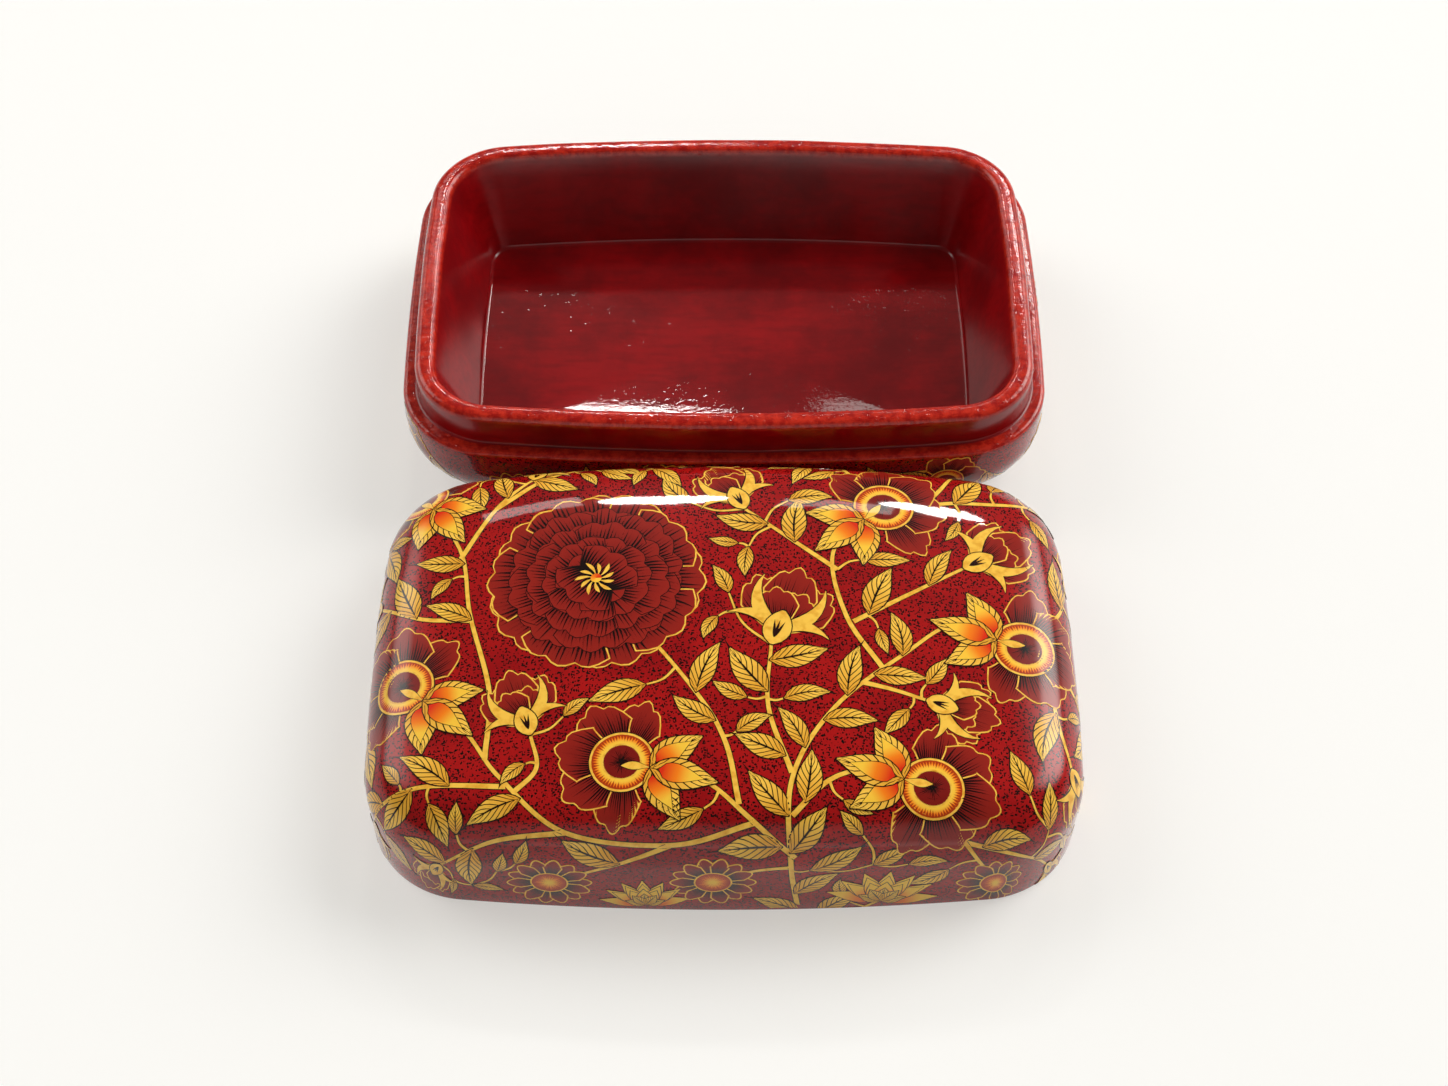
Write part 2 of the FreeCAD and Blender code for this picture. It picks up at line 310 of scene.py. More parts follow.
def ring_shell(name, rings, middle_y=0.0, closed_round=False):
    """A circle extruded ring by ring. The ends close at a middle point, or meet each other."""
    count = len(rings[0])
    total = count * len(rings)
    deselect()
    bpy.ops.mesh.primitive_circle_add(vertices=count, radius=1, location=(0, 0, 0))
    piece = bpy.context.object
    piece.name = name
    bpy.ops.object.mode_set(mode="EDIT")
    mesh = bmesh.from_edit_mesh(piece.data)
    for vertex in mesh.verts:
        vertex.co.y += middle_y
    half_step = Matrix.Rotation(math.pi / count, 3, "Z")
    bmesh.ops.rotate(mesh, verts=mesh.verts, cent=(0, middle_y, 0), matrix=half_step)
    set_ring(piece, rings[0], middle_y)
    for ring in rings[1:]:
        bpy.ops.mesh.extrude_edges_move()
        set_ring(piece, ring, middle_y)
    first = set(range(count))
    last = set(range(total - count, total))
    if closed_round:
        select_points(piece, first | last)
        bpy.ops.mesh.bridge_edge_loops()
    else:
        for end in (first, last):
            select_points(piece, end)
            bpy.ops.mesh.edge_face_add()
            bpy.ops.mesh.poke()
    bpy.ops.mesh.select_all(action="SELECT")
    bpy.ops.mesh.normals_make_consistent(inside=False)
    bpy.ops.object.mode_set(mode="OBJECT")
    bpy.ops.object.shade_smooth_by_angle(angle=SMOOTH_ANGLE)
    return piece


def select_points(piece, chosen):
    """Select the points with these numbers, and the edges between them."""
    bpy.ops.mesh.select_all(action="DESELECT")
    mesh = bmesh.from_edit_mesh(piece.data)
    mesh.verts.ensure_lookup_table()
    for number in chosen:
        mesh.verts[number].select = True
    mesh.select_flush_mode()
    for edge in mesh.edges:
        edge.select = edge.verts[0].select and edge.verts[1].select
    bmesh.update_edit_mesh(piece.data)


# Node helpers
class Paint:
    """A material and short ways to add and link its nodes."""

    def __init__(self, name):
        self.material = bpy.data.materials.new(name)
        self.material.use_nodes = True
        self.tree = self.material.node_tree
        self.shader = self.tree.nodes["Principled BSDF"]

    @classmethod
    def of_tree(cls, tree, shader_name):
        """The same short ways for another node tree."""
        made = cls.__new__(cls)
        made.tree = tree
        made.shader = tree.nodes[shader_name]
        return made

    def node(self, kind, inputs=None, **settings):
        """A node with its settings, and values or links for some of its inputs."""
        made = self.tree.nodes.new(kind)
        for name, value in settings.items():
            setattr(made, name, value)
        self.feed(made, inputs or {})
        return made

    def feed(self, node, inputs):
        for name, value in inputs.items():
            if isinstance(value, bpy.types.NodeSocket):
                self.tree.links.new(value, node.inputs[name])
            elif value is not None:
                node.inputs[name].default_value = value

    def maths(self, operation, *values):
        return self.node("ShaderNodeMath", dict(enumerate(values)), operation=operation).outputs[0]

    def times(self, first, second):
        return self.maths("MULTIPLY", first, second)

    def minus(self, first, second):
        return self.maths("SUBTRACT", first, second)

    def larger(self, first, second):
        return self.maths("MAXIMUM", first, second)

    def away(self, value, middle):
        """How far a value is from a middle."""
        return self.maths("ABSOLUTE", self.minus(value, middle))

    def part(self, vector, axis):
        return self.node("ShaderNodeSeparateXYZ", {0: vector}).outputs[axis]

    def place(self):
        return self.node("ShaderNodeTexCoord").outputs["Object"]

    def across_and_along(self):
        """Across a patch from 0 to 1, and along it from 0 at its root to 1 at its tip."""
        flat = self.node("ShaderNodeTexCoord").outputs["UV"]
        return self.part(flat, "X"), self.part(flat, "Y")

    def tone(self):
        """A value of its own for each patch."""
        return self.node("ShaderNodeAttribute", attribute_name="tone").outputs["Fac"]

    def stretched(self, vector, scale):
        return self.node("ShaderNodeMapping", {"Vector": vector, "Scale": scale}).outputs[0]

    def noise(self, vector, scale, detail=2.0, roughness=0.5):
        inputs = {"Vector": vector, "Scale": scale, "Detail": detail, "Roughness": roughness}
        return self.node("ShaderNodeTexNoise", inputs).outputs["Fac"]

    def ramp(self, value, stops):
        made = self.node("ShaderNodeValToRGB", {"Fac": value})
        while len(made.color_ramp.elements) < len(stops):
            made.color_ramp.elements.new(1.0)
        for element, (position, colour) in zip(made.color_ramp.elements, stops):
            element.position = position
            element.color = colour
        return made.outputs["Color"]

    def mix(self, factor, first, second):
        inputs = {"Factor": factor, "A": first, "B": second}
        return self.node("ShaderNodeMix", inputs, data_type="RGBA").outputs["Result"]

    def between(self, value, low, high, to_low=0.0, to_high=1.0):
        """A smooth rise from one value to another as the value goes from low to high."""
        inputs = dict(enumerate((value, low, high, to_low, to_high)))
        return self.node("ShaderNodeMapRange", inputs, interpolation_type="SMOOTHSTEP").outputs[0]

    def bump(self, height, distance, strength=1.0, normal=None):
        inputs = {"Height": height, "Distance": distance, "Strength": strength, "Normal": normal}
        return self.node("ShaderNodeBump", inputs).outputs[0]

    def lacquer(self, colour, normal, coat_roughness=0.03):
        """Colour under a thick gloss coat whose surface follows the normal."""
        self.feed(self.shader, {"Base Color": colour, "Roughness": 0.32, "IOR": 1.45,
                                "Specular IOR Level": 0.05, "Coat Weight": 1.0, "Coat IOR": 1.42,
                                "Coat Roughness": coat_roughness, "Normal": normal, "Coat Normal": normal})
        return self.material


def rgb(red, green, blue):
    """A colour as it looks on screen, from 0 to 255, as shaders take it."""
    levels = np.array([red, green, blue]) / 255
    linear = np.where(levels <= 0.04045, levels / 12.92, ((levels + 0.055) / 1.055) ** 2.4)
    return (*linear.tolist(), 1.0)


INK = rgb(22, 6, 4)
INK_BROWN = rgb(48, 16, 8)
GROUND_RED = rgb(172, 18, 18)
GROUND_DEEP = rgb(150, 10, 14)
CRIMSON = rgb(152, 5, 12)
CRIMSON_DEEP = rgb(104, 1, 6)
# Orange reds of the band near the rim and ledge: thin worn paint lightened by a painted highlight
RIM_RED = rgb(200, 46, 28)
RIM_DEEP = rgb(156, 18, 12)
MAROON = rgb(126, 24, 18)
MAROON_LIGHT = rgb(150, 34, 24)
GOLD = rgb(255, 204, 80)
GOLD_DEEP = rgb(232, 164, 48)
FLAME_RED = rgb(226, 48, 18)
FLAME_ORANGE = rgb(250, 132, 26)
FLAME_YELLOW = rgb(255, 204, 66)
RING_STROKE = rgb(178, 56, 16)

# Brushed lacquer: each strength is the gain in the band where the coat is worn and a highlight is painted,
# and the strength elsewhere
BRUSH_STRETCH = (0.5, 1.0, 1.0)
STREAK_STRETCH = (0.2, 1.0, 1.0)
STREAK_SHARE = 0.4
RIPPLE_STRENGTH = (0.75, 0.3)
NIB_STRENGTH = (0.86, 0.07)
WEAR_AND_SHEEN_ROUGHNESS = 0.03
WEAR_AND_SHEEN_CORE_SHARE = 0.25

# Stippled ground: the dash size is in cells of its pattern, the shake in metres
DASH_SIZE = 0.35
DASH_CORE_SHARE = 0.75
DASH_SHAKE = (0.0008, 0.0008, 0.0008)
LONG_WAYS = (0.55, 1.0, 1.0)
CROSS_WAYS = (1.0, 0.55, 1.0)

# Brush strokes on petals and rings, and veins on leaves
STROKE_LENGTHS = (0.7, 0.55)
STROKE_WIDTH_SHARE = 0.62
STROKE_BLUR = 0.06
PETAL_STROKES = 19.0
PETAL_HATCH_SHARE = 0.8
FRILL_HATCH_SHARE = 0.92
RING_STROKES = 58.0
RING_HATCH_SHARE = 0.75
EYE_STROKES = 38.0
EYE_HATCH_SHARE = 0.7
VEIN_COUNT = 7.0
VEIN_SLANT = 4.2
LEAF_SHADE_SHARE = 0.4
FLAME_STOPS = [(0.08, FLAME_RED), (0.42, FLAME_ORANGE), (0.72, FLAME_YELLOW)]


def smooth_coat(paint):
    """The lacquer over paint: nearly level, with slow waves and a fine orange peel."""
    place = paint.place()
    waves = paint.bump(paint.noise(place, scale=70.0, detail=1.0), distance=0.00005, strength=0.5)
    return paint.bump(paint.noise(place, scale=420.0), distance=0.000006, strength=0.5, normal=waves)


def brushed_coat(paint, wear_and_sheen):
    """Thick lacquer over plain crimson: fine ripples along the brush over slow swells, and small nibs."""
    place = paint.place()
    brushed = paint.stretched(place, BRUSH_STRETCH)
    swell = paint.bump(paint.noise(brushed, scale=80.0), distance=0.00022, strength=0.14)
    ripple_strength = paint.maths("MULTIPLY_ADD", wear_and_sheen, *RIPPLE_STRENGTH)
    ripple = paint.noise(brushed, scale=620.0, detail=3.0, roughness=0.6)
    ripple = paint.bump(ripple, distance=0.00007, strength=ripple_strength, normal=swell)
    nib_strength = paint.maths("MULTIPLY_ADD", wear_and_sheen, *NIB_STRENGTH)
    nibs = paint.between(paint.noise(place, scale=560.0), low=0.58, high=0.72)
    return paint.bump(nibs, distance=0.00009, strength=nib_strength, normal=ripple)


def crimson_lacquer(name, wear_and_sheen_height, wear_and_sheen_reach, coat_roughness):
    """Deep crimson, rubbed to a brighter orange red near one height: thin worn paint, with a painted
    highlight.
    """
    paint = Paint(name)
    place = paint.place()
    cloud = paint.noise(place, scale=30.0, detail=5.0, roughness=0.65)
    colour = paint.mix(paint.between(cloud, low=0.3, high=0.75), CRIMSON, CRIMSON_DEEP)
    streak = paint.noise(paint.stretched(place, STREAK_STRETCH), scale=420.0, detail=3.0)
    streak = paint.times(paint.between(streak, low=0.4, high=0.75), STREAK_SHARE)
    colour = paint.mix(streak, colour, CRIMSON_DEEP)
    # The band near one height is partly worn paint and partly a painted highlight of light on the rim and
    # ledge
    away = paint.away(paint.part(place, "Z"), wear_and_sheen_height)
    wear_and_sheen = paint.between(away, wear_and_sheen_reach, WEAR_AND_SHEEN_CORE_SHARE * wear_and_sheen_reach)
    patchy = paint.noise(place, scale=330.0, detail=5.0, roughness=0.7)
    rubbed_and_lit = paint.mix(paint.between(patchy, low=0.36, high=0.62), RIM_DEEP, RIM_RED)
    gloss = paint.between(wear_and_sheen, 0.0, 1.0, coat_roughness, WEAR_AND_SHEEN_ROUGHNESS)
    return paint.lacquer(paint.mix(wear_and_sheen, colour, rubbed_and_lit), brushed_coat(paint, wear_and_sheen), gloss)


def painted(name, colour_of):
    """A paint under smooth lacquer."""
    paint = Paint(name)
    return paint.lacquer(colour_of(paint), smooth_coat(paint))


def dashes(paint, place, scale, stretch):
    """Short dark dashes of about one size, at random places."""
    cells = paint.node("ShaderNodeTexVoronoi", {"Vector": paint.stretched(place, stretch), "Scale": scale})
    return paint.between(cells.outputs["Distance"], DASH_SIZE, DASH_CORE_SHARE * DASH_SIZE)


def ground_colour(paint):
    """Red ground stippled with fine black dashes."""
    place = paint.place()
    cloud = paint.noise(place, scale=60.0, detail=3.0)
    colour = paint.mix(paint.between(cloud, low=0.35, high=0.7), GROUND_RED, GROUND_DEEP)
    ragged = paint.node("ShaderNodeTexNoise", {"Vector": place, "Scale": 1200.0}).outputs["Color"]
    inputs = {0: ragged, 1: DASH_SHAKE, 2: place}
    shaken = paint.node("ShaderNodeVectorMath", inputs, operation="MULTIPLY_ADD").outputs[0]
    long_ways = dashes(paint, shaken, 1250.0, LONG_WAYS)
    cross_ways = dashes(paint, shaken, 1320.0, CROSS_WAYS)
    return paint.mix(paint.larger(long_ways, cross_ways), colour, INK)


def gold_colour(paint):
    shade = paint.noise(paint.place(), scale=420.0, detail=3.0)
    return paint.mix(paint.between(shade, low=0.4, high=0.75), GOLD, GOLD_DEEP)


def ink_colour(paint):
    return paint.mix(paint.noise(paint.place(), scale=600.0), INK, INK_BROWN)


def strokes(paint, across, along, count, reach):
    """Tapering brush strokes that run out from the root of a petal, each with a length of its own."""
    lane = paint.times(across, count)
    pair = paint.node("ShaderNodeCombineXYZ", {"X": paint.maths("FLOOR", lane), "Y": paint.tone()})
    seed = paint.node("ShaderNodeTexWhiteNoise", {"Vector": pair.outputs[0]}, noise_dimensions="2D")
    length = paint.times(paint.maths("MULTIPLY_ADD", seed.outputs["Value"], *STROKE_LENGTHS), reach)
    off_middle = paint.away(paint.maths("FRACT", lane), 0.5)
    left = paint.minus(1.0, paint.maths("DIVIDE", along, length))
    inside = paint.minus(paint.times(left, STROKE_WIDTH_SHARE), off_middle)
    return paint.between(inside, -STROKE_BLUR, STROKE_BLUR)


def petal_colour(paint, reach=PETAL_HATCH_SHARE):
    """Dark petals with hatching that runs out from the root for a share of their length."""
    across, along = paint.across_and_along()
    colour = paint.mix(paint.between(along, low=0.3, high=1.0), MAROON, MAROON_LIGHT)
    return paint.mix(strokes(paint, across, along, PETAL_STROKES, reach), colour, INK)


def frill_colour(paint):
    return petal_colour(paint, FRILL_HATCH_SHARE)


def veins(paint, across, along):
    """A leaf's middle line, and slanting lines on both sides of it."""
    side = paint.away(across, 0.5)
    lane = paint.minus(paint.times(along, VEIN_COUNT), paint.times(side, VEIN_SLANT))
    off_vein = paint.away(paint.maths("FRACT", lane), 0.5)
    middle = paint.between(side, low=0.06, high=0.03)
    return paint.larger(paint.between(off_vein, low=0.14, high=0.07), middle)


def leaf_colour(paint):
    across, along = paint.across_and_along()
    colour = paint.mix(paint.between(along, low=0.0, high=0.8), GOLD_DEEP, GOLD)
    shade = paint.between(paint.noise(paint.place(), scale=300.0), low=0.45, high=0.8)
    colour = paint.mix(paint.times(shade, LEAF_SHADE_SHARE), colour, GOLD_DEEP)
    return paint.mix(veins(paint, across, along), colour, INK)


def flame_colour(paint):
    return paint.ramp(paint.across_and_along()[1], FLAME_STOPS)


def ring_colour(paint):
    across, along = paint.across_and_along()
    colour = paint.mix(paint.between(across, low=0.1, high=0.7), FLAME_YELLOW, FLAME_ORANGE)
    outwards = paint.minus(1.0, across)
    return paint.mix(strokes(paint, along, outwards, RING_STROKES, RING_HATCH_SHARE), colour, RING_STROKE)


def eye_colour(paint):
    across, along = paint.across_and_along()
    return paint.mix(strokes(paint, along, across, EYE_STROKES, EYE_HATCH_SHARE), MAROON, INK)


# Painted patches
SLAB_MIDDLE = 0.5
BLADE_END_SHARE = 0.04
FAN_SPREAD_POWER = 0.8


def slab(name, rows, columns):
    """A flat closed slab that painted patches are shaped from: 2 wide, 2 long and 1 thick."""
    deselect()
    bpy.ops.mesh.primitive_grid_add(x_subdivisions=columns, y_subdivisions=rows, size=2, location=(0, 0, 0))
    piece = bpy.context.object
    bpy.ops.object.mode_set(mode="EDIT")
    bpy.ops.mesh.select_all(action="SELECT")
    bpy.ops.mesh.extrude_region_move(TRANSFORM_OT_translate={"value": (0, 0, 1)})
    bpy.ops.mesh.select_mode(type="FACE")
    shape = bmesh.from_edit_mesh(piece.data)
    for face in shape.faces:
        face.select = all(vertex.co.z < SLAB_MIDDLE for vertex in face.verts)
    bmesh.update_edit_mesh(piece.data)
    bpy.ops.mesh.dissolve_faces()
    bpy.ops.mesh.select_all(action="SELECT")
    bpy.ops.mesh.normals_make_consistent(inside=False)
    bpy.ops.mesh.select_mode(type="VERT")
    bpy.ops.object.mode_set(mode="OBJECT")
    bpy.ops.object.shade_smooth()
    mesh = piece.data
    mesh.name = name
    mesh.use_fake_user = True
    bpy.data.objects.remove(piece)
    return mesh


# Slabs by rows along and columns across, and finer ones for places where the surface bends
LEAF_SLAB = slab("leaf_slab", 8, 4)
PETAL_SLAB = slab("petal_slab", 6, 12)
NARROW_SLAB = slab("narrow_slab", 4, 5)
FINE_SLABS = {LEAF_SLAB: slab("fine_leaf_slab", 12, 4), PETAL_SLAB: slab("fine_petal_slab", 18, 20),
              NARROW_SLAB: slab("fine_narrow_slab", 10, 8)}
STEM_SLAB = slab("stem_slab", 110, 1)
SHOOT_SLAB = slab("shoot_slab", 14, 1)
RING_SLAB = slab("ring_slab", 32, 3)
DOT_SLAB = slab("dot_slab", 10, 1)

# Levels of paint from the ground up
STEM_LEVEL = 0
LEAF_LEVEL = 2
LEAF_ABOVE_INK = 4
FLOWER_LEVEL = 8

# Widths of the edges that show round patches
LEAF_EDGE = 0.0004
FLAME_EDGE = 0.00035
SEPAL_EDGE = 0.0003
FRILL_EDGE = 0.00028
LOTUS_EDGE = 0.00025
DROP_EDGE = 0.00022
FAN_EDGE = 0.00045
ROSETTE_EDGE = 0.0005
STEM_EDGE = 0.0005


def blade(along, across, length, width, swell, bend, fullness):
    """A leaf or petal that narrows at both ends, pointing along +X."""
    half = width / 2 * np.maximum(np.sin(math.pi * along ** swell), BLADE_END_SHARE) ** fullness
    turn = bend * along
    spine_x = length * along * np.sinc(turn / math.pi)
    spine_y = length * along * np.sin(turn / 2) * np.sinc(turn / FULL_TURN)
    return np.stack([spine_x - half * across * np.sin(turn), spine_y + half * across * np.cos(turn)], axis=1)


def fan(along, across, length, width, root, scallops, depth, rounding):
    """A petal that widens to a rounded end cut into scallops, pointing along +X."""
    scallop = abs(np.sin(scallops * QUARTER_TURN * (across + 1)))
    tip = depth * (scallop - 1) - rounding * across ** 2
    half = width / 2 * (root + (1 - root) * np.sin(QUARTER_TURN * along) ** FAN_SPREAD_POWER)
    return np.stack([length * along * (1 + tip * along), half * across], axis=1)


def band(along, across, radius, half_width):
    """A ring about the origin."""
    angle = FULL_TURN * along
    reach = radius - half_width * across
    return np.stack([reach * np.cos(angle), reach * np.sin(angle)], axis=1)


def smooth_path(points, steps):
    """Places along a smooth curve through points, and the way it runs at each."""
    points = np.array(points, dtype=float)
    ends = np.vstack([2 * points[0] - points[1], points, 2 * points[-1] - points[-2]])
    spans = len(points) - 1
    travel = np.linspace(0, spans, steps)
    span = np.minimum(travel.astype(int), spans - 1)
    share = (travel - span)[:, None]
    before, first, second, after = ends[span], ends[span + 1], ends[span + 2], ends[span + 3]
    path = 0.5 * (2 * first + (second - before) * share
                  + (2 * before - 5 * first + 4 * second - after) * share ** 2
                  + (3 * first - before - 3 * second + after) * share ** 3)
    way = np.gradient(path, axis=0)
    return path, way / np.linalg.norm(way, axis=1)[:, None]


def run_along(path):
    """The distance from the start of a path to each of its places."""
    return np.concatenate([[0], np.cumsum(np.linalg.norm(np.diff(path, axis=0), axis=1))])


def step(place, heading, distance):
    """The place at a distance along a heading."""
    return (place[0] + distance * math.cos(heading), place[1] + distance * math.sin(heading))


def along_blade(place, heading, length, bend, share):
    """A place part of the way along the middle of a curved blade."""
    turn = bend * share
    return step(place, heading + turn / 2, length * share * np.sinc(turn / FULL_TURN))


class Painting:
    """Painted patches laid on one surface. Patches of one paint are joined into one piece."""

    PATH_STEPS = 200
    STEM_TAPER = 0.4
    TIP_EDGES = 2.5
    HOLE_SHARE = 0.02

    def __init__(self, name, surface, bends, body, seed):
        self.name = name
        self.surface = surface
        self.bends = bends
        self.body = body
        self.patches = {}
        self.random = np.random.RandomState(seed)

    def spread(self, mesh, shape, place, heading):
        """A slab's points, and the flat places that a shape, a place and a heading give them."""
        flat = np.empty(len(mesh.vertices) * 3)
        mesh.vertices.foreach_get("co", flat)
        flat = flat.reshape(-1, 3)
        local = shape((flat[:, 1] + 1) / 2, -flat[:, 0])
        turn = np.array([[math.cos(heading), math.sin(heading)], [-math.sin(heading), math.cos(heading)]])
        return flat, local @ turn + np.asarray(place)

    def lay(self, paint, mesh, shape, place, heading, level):
        """Lay a patch: a slab shaped on the flat, turned to its heading, put in place and wrapped on."""
        flat, plan = self.spread(mesh, shape, place, heading)
        if mesh in FINE_SLABS and self.bends(plan):
            mesh = FINE_SLABS[mesh]
            flat, plan = self.spread(mesh, shape, place, heading)
        points, normals = self.surface(plan)
        lift = np.where(flat[:, 2] > SLAB_MIDDLE, FIRST_COAT + COAT * level, -SUNK)
        patch = mesh.copy()
        patch.vertices.foreach_set("co", (points + normals * lift[:, None]).ravel())
        patch.attributes.new("lie", "FLOAT_VECTOR", "POINT").data.foreach_set("vector", normals.ravel())
        tone = np.full(len(flat), self.random.rand())
        patch.attributes.new("tone", "FLOAT", "POINT").data.foreach_set("value", tone)
        piece = bpy.data.objects.new(self.name, patch)
        bpy.context.collection.objects.link(piece)
        self.patches.setdefault(paint, []).append(piece)

    def blade(self, paint, place, heading, length, width, swell, bend, level, margin=0.0, mesh=LEAF_SLAB,
              fullness=1.0):
        """A blade, or the larger one that shows round its edge by a margin."""
        long = length + self.TIP_EDGES * margin
        wide = width + 2 * margin

        def shape(along, across):
            return blade(along, across, long, wide, swell, bend, fullness) - np.array([margin, 0.0])
        self.lay(paint, mesh, shape, place, heading, level)

    def edged_blade(self, paint, place, heading, length, width, swell, bend, level, margin, above=1,
                    fullness=1.0):
        """A blade with an inked edge."""
        self.blade("ink", place, heading, length, width, swell, bend, level, margin, fullness=fullness)
        self.blade(paint, place, heading, length, width, swell, bend, level + above, fullness=fullness)

    def fan(self, paint, place, heading, length, width, root, level, scallops=3, depth=0.09, rounding=0.36,
            edge="gold", margin=FAN_EDGE, mesh=PETAL_SLAB):
        """A scalloped petal with an edge of another paint."""
        def shape(along, across, grown):
            made = fan(along, across, length + 2 * grown, width + 2 * grown, root, scallops, depth, rounding)
            return made - np.array([grown, 0.0])
        self.lay(edge, mesh, partial(shape, grown=margin), place, heading, level)
        self.lay(paint, mesh, partial(shape, grown=0.0), place, heading, level + 1)

    def ring(self, paint, place, inner, outer, level, mesh=RING_SLAB):
        shape = partial(band, radius=(inner + outer) / 2, half_width=(outer - inner) / 2)
        self.lay(paint, mesh, shape, place, 0, level)

    def disc(self, paint, place, radius, level, mesh=RING_SLAB):
        self.ring(paint, place, self.HOLE_SHARE * radius, radius, level, mesh)

    def stem(self, points, width, mesh):
        """A tapering gold line with an inked edge. Gives its places and the way it runs at each."""
        path, way = smooth_path(points, self.PATH_STEPS)
        run = np.linspace(0, 1, len(path))
        side = np.stack([-way[:, 1], way[:, 0]], axis=1)

        def ribbon(along, across, wide):
            spine, out = [np.stack([np.interp(along, run, line[:, axis]) for axis in (0, 1)], axis=1)
                          for line in (path, side)]
            taper = 1 - self.STEM_TAPER * along
            return spine + out * (across * wide / 2 * taper)[:, None]

        self.lay("ink", mesh, partial(ribbon, wide=width + STEM_EDGE), (0, 0), 0, STEM_LEVEL)
        self.lay("gold", mesh, partial(ribbon, wide=width), (0, 0), 0, STEM_LEVEL + 1)
        return path, way

    def finish(self, materials):
        for paint, pieces in self.patches.items():
            deselect()
            for piece in pieces:
                piece.select_set(True)
            bpy.context.view_layer.objects.active = pieces[0]
            bpy.ops.object.join()
            piece = pieces[0]
            piece.name = f"{self.name}_{paint}"
            mesh = piece.data
            lie = np.empty(len(mesh.vertices) * 3)
            mesh.attributes["lie"].data.foreach_get("vector", lie)
            mesh.normals_split_custom_set_from_vertices(lie.reshape(-1, 3))
            mesh.attributes.remove(mesh.attributes["lie"])
            mesh.materials.clear()
            mesh.materials.append(materials[paint])
            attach(piece, self.body)


# Motifs: each share is of the leaf, petal or flower that the part belongs to
TIP_START_SHARE = 0.9
TIP_LENGTH_SHARE = 0.3
TIP_BEND_SHARE = 0.4
TIP_WIDTH = 0.0006
DROP_START_SHARE = 0.13
DROP_LENGTH_SHARE = 0.66
DROP_WIDTH_SHARE = 0.62
MOUTH_SHARE = 0.2

# Rosette, with the petal count and the shares of both ends for each ring of petals
ROSETTE_RINGS = [(10, 0.58, 1.00), (10, 0.43, 0.83), (8, 0.28, 0.66), (6, 0.13, 0.49), (4, 0.0, 0.33)]
ROSETTE_GROUND_SHARE = 0.8
ROSETTE_TWIST = 0.37
ROSETTE_OVERLAP = 1.3
ROSETTE_SHAKE = 0.06
ROSETTE_LENGTH_SHARES = (0.92, 1.06)
ROSETTE_EYE = 0.0016
STAMENS = 11
STAMEN_SHARES = (0.15, 0.18)
STAMEN_START = 0.0008
STAMEN_WIDTH = 0.0011

# Ring blossom: turn, length and width of petals, turn, length and bend of sepals, then paint,
# inner and outer radius of rings and their level above the petals
BLOSSOM_PETALS = [(-1.7, 0.86, 0.72), (1.7, 0.86, 0.72), (-0.85, 0.8, 0.9), (0.85, 0.8, 0.9), (0, 0.8, 0.9)]
BLOSSOM_SEPALS = [(-0.95, 0.92, 0.2375), (0.95, 0.92, -0.2375), (0.0, 1.02, 0.0)]
BLOSSOM_RINGS = [("ink", 0.01, 0.5, 0), ("gold", 0.27, 0.485, 1), ("ring", 0.3, 0.45, 2),
                 ("eye", 0.0055, 0.275, 1)]
BLOSSOM_LENGTH_SHARES = (0.95, 1.05)
BLOSSOM_MIDDLE_SHARE = 0.3
BLOSSOM_ROOT_SHARE = 0.24
BLOSSOM_HUB_SHARE = -0.14
BLOSSOM_SEPAL_WIDTH_SHARE = 0.48
TONGUE_LENGTH_SHARE = 0.44
TONGUE_WIDTH_SHARE = 0.13

# Cup: turn, bend, length and width of sepals
CUP_SEPALS = [(1.25, -1.5, 0.74, 0.15), (0.85, 1.3, 0.56, 0.13)]
CUP_LENGTH_SHARE = 0.42
CUP_WIDTH_SHARE = 0.28
CUP_VEIN_TURNS = (-0.25, 0.0, 0.25)
CUP_VEIN_START_SHARE = 0.08
CUP_VEIN_LENGTH_SHARE = 0.22
CUP_VEIN_WIDTH_SHARE = 0.03

# Tulip and bud: turn, length and width of dark petals, turn, length and bend of glowing ones
TULIP_PETALS = [(-0.75, 0.7, 0.56), (0.75, 0.7, 0.56)]
TULIP_FLAMES = [(-0.55, 0.66, 0.3), (0.55, 0.66, -0.3), (0.0, 0.78, 0.0)]
TULIP_FLAME_WIDTH_SHARE = 0.36
TULIP_CUP_SHARE = 0.62
BUD_PETALS = [(-0.62, 0.68, 0.5), (0.62, 0.68, 0.5), (0.0, 0.78, 0.54), (-0.32, 0.5, 0.42), (0.32, 0.5, 0.42)]

DAISY_PETALS = 14
DAISY_START_SHARE = 0.38
DAISY_LENGTH_SHARE = 0.62
DAISY_WIDTH_SHARE = 0.4
DAISY_EDGE_SHARE = 0.46
DAISY_EYE_SHARE = 0.42

# Lotus: petal count, turn to the outermost petal and length for each row
LOTUS_ROWS = [(7, 1.35, 1.0), (5, 0.9, 0.84), (3, 0.45, 0.64)]
LOTUS_WIDTH_SHARE = 0.34
LOTUS_SEPAL_TURNS = (-1.2, -0.6, 0.0, 0.6, 1.2)
LOTUS_SEPAL_LENGTH_SHARE = 0.44
LOTUS_SEPAL_WIDTH_SHARE = 0.26


def leaf(art, place, heading, length, width, bend):
    """A veined gold leaf with an inked edge and a thin inked tip."""
    art.edged_blade("leaf", place, heading, length, width, swell=0.8, bend=bend, level=LEAF_LEVEL,
                    margin=LEAF_EDGE, above=LEAF_ABOVE_INK)
    tip = along_blade(place, heading, length, bend, TIP_START_SHARE)
    art.blade("ink", tip, heading + bend, TIP_LENGTH_SHARE * length, TIP_WIDTH, swell=0.5,
              bend=TIP_BEND_SHARE * bend, level=LEAF_LEVEL, mesh=DOT_SLAB)


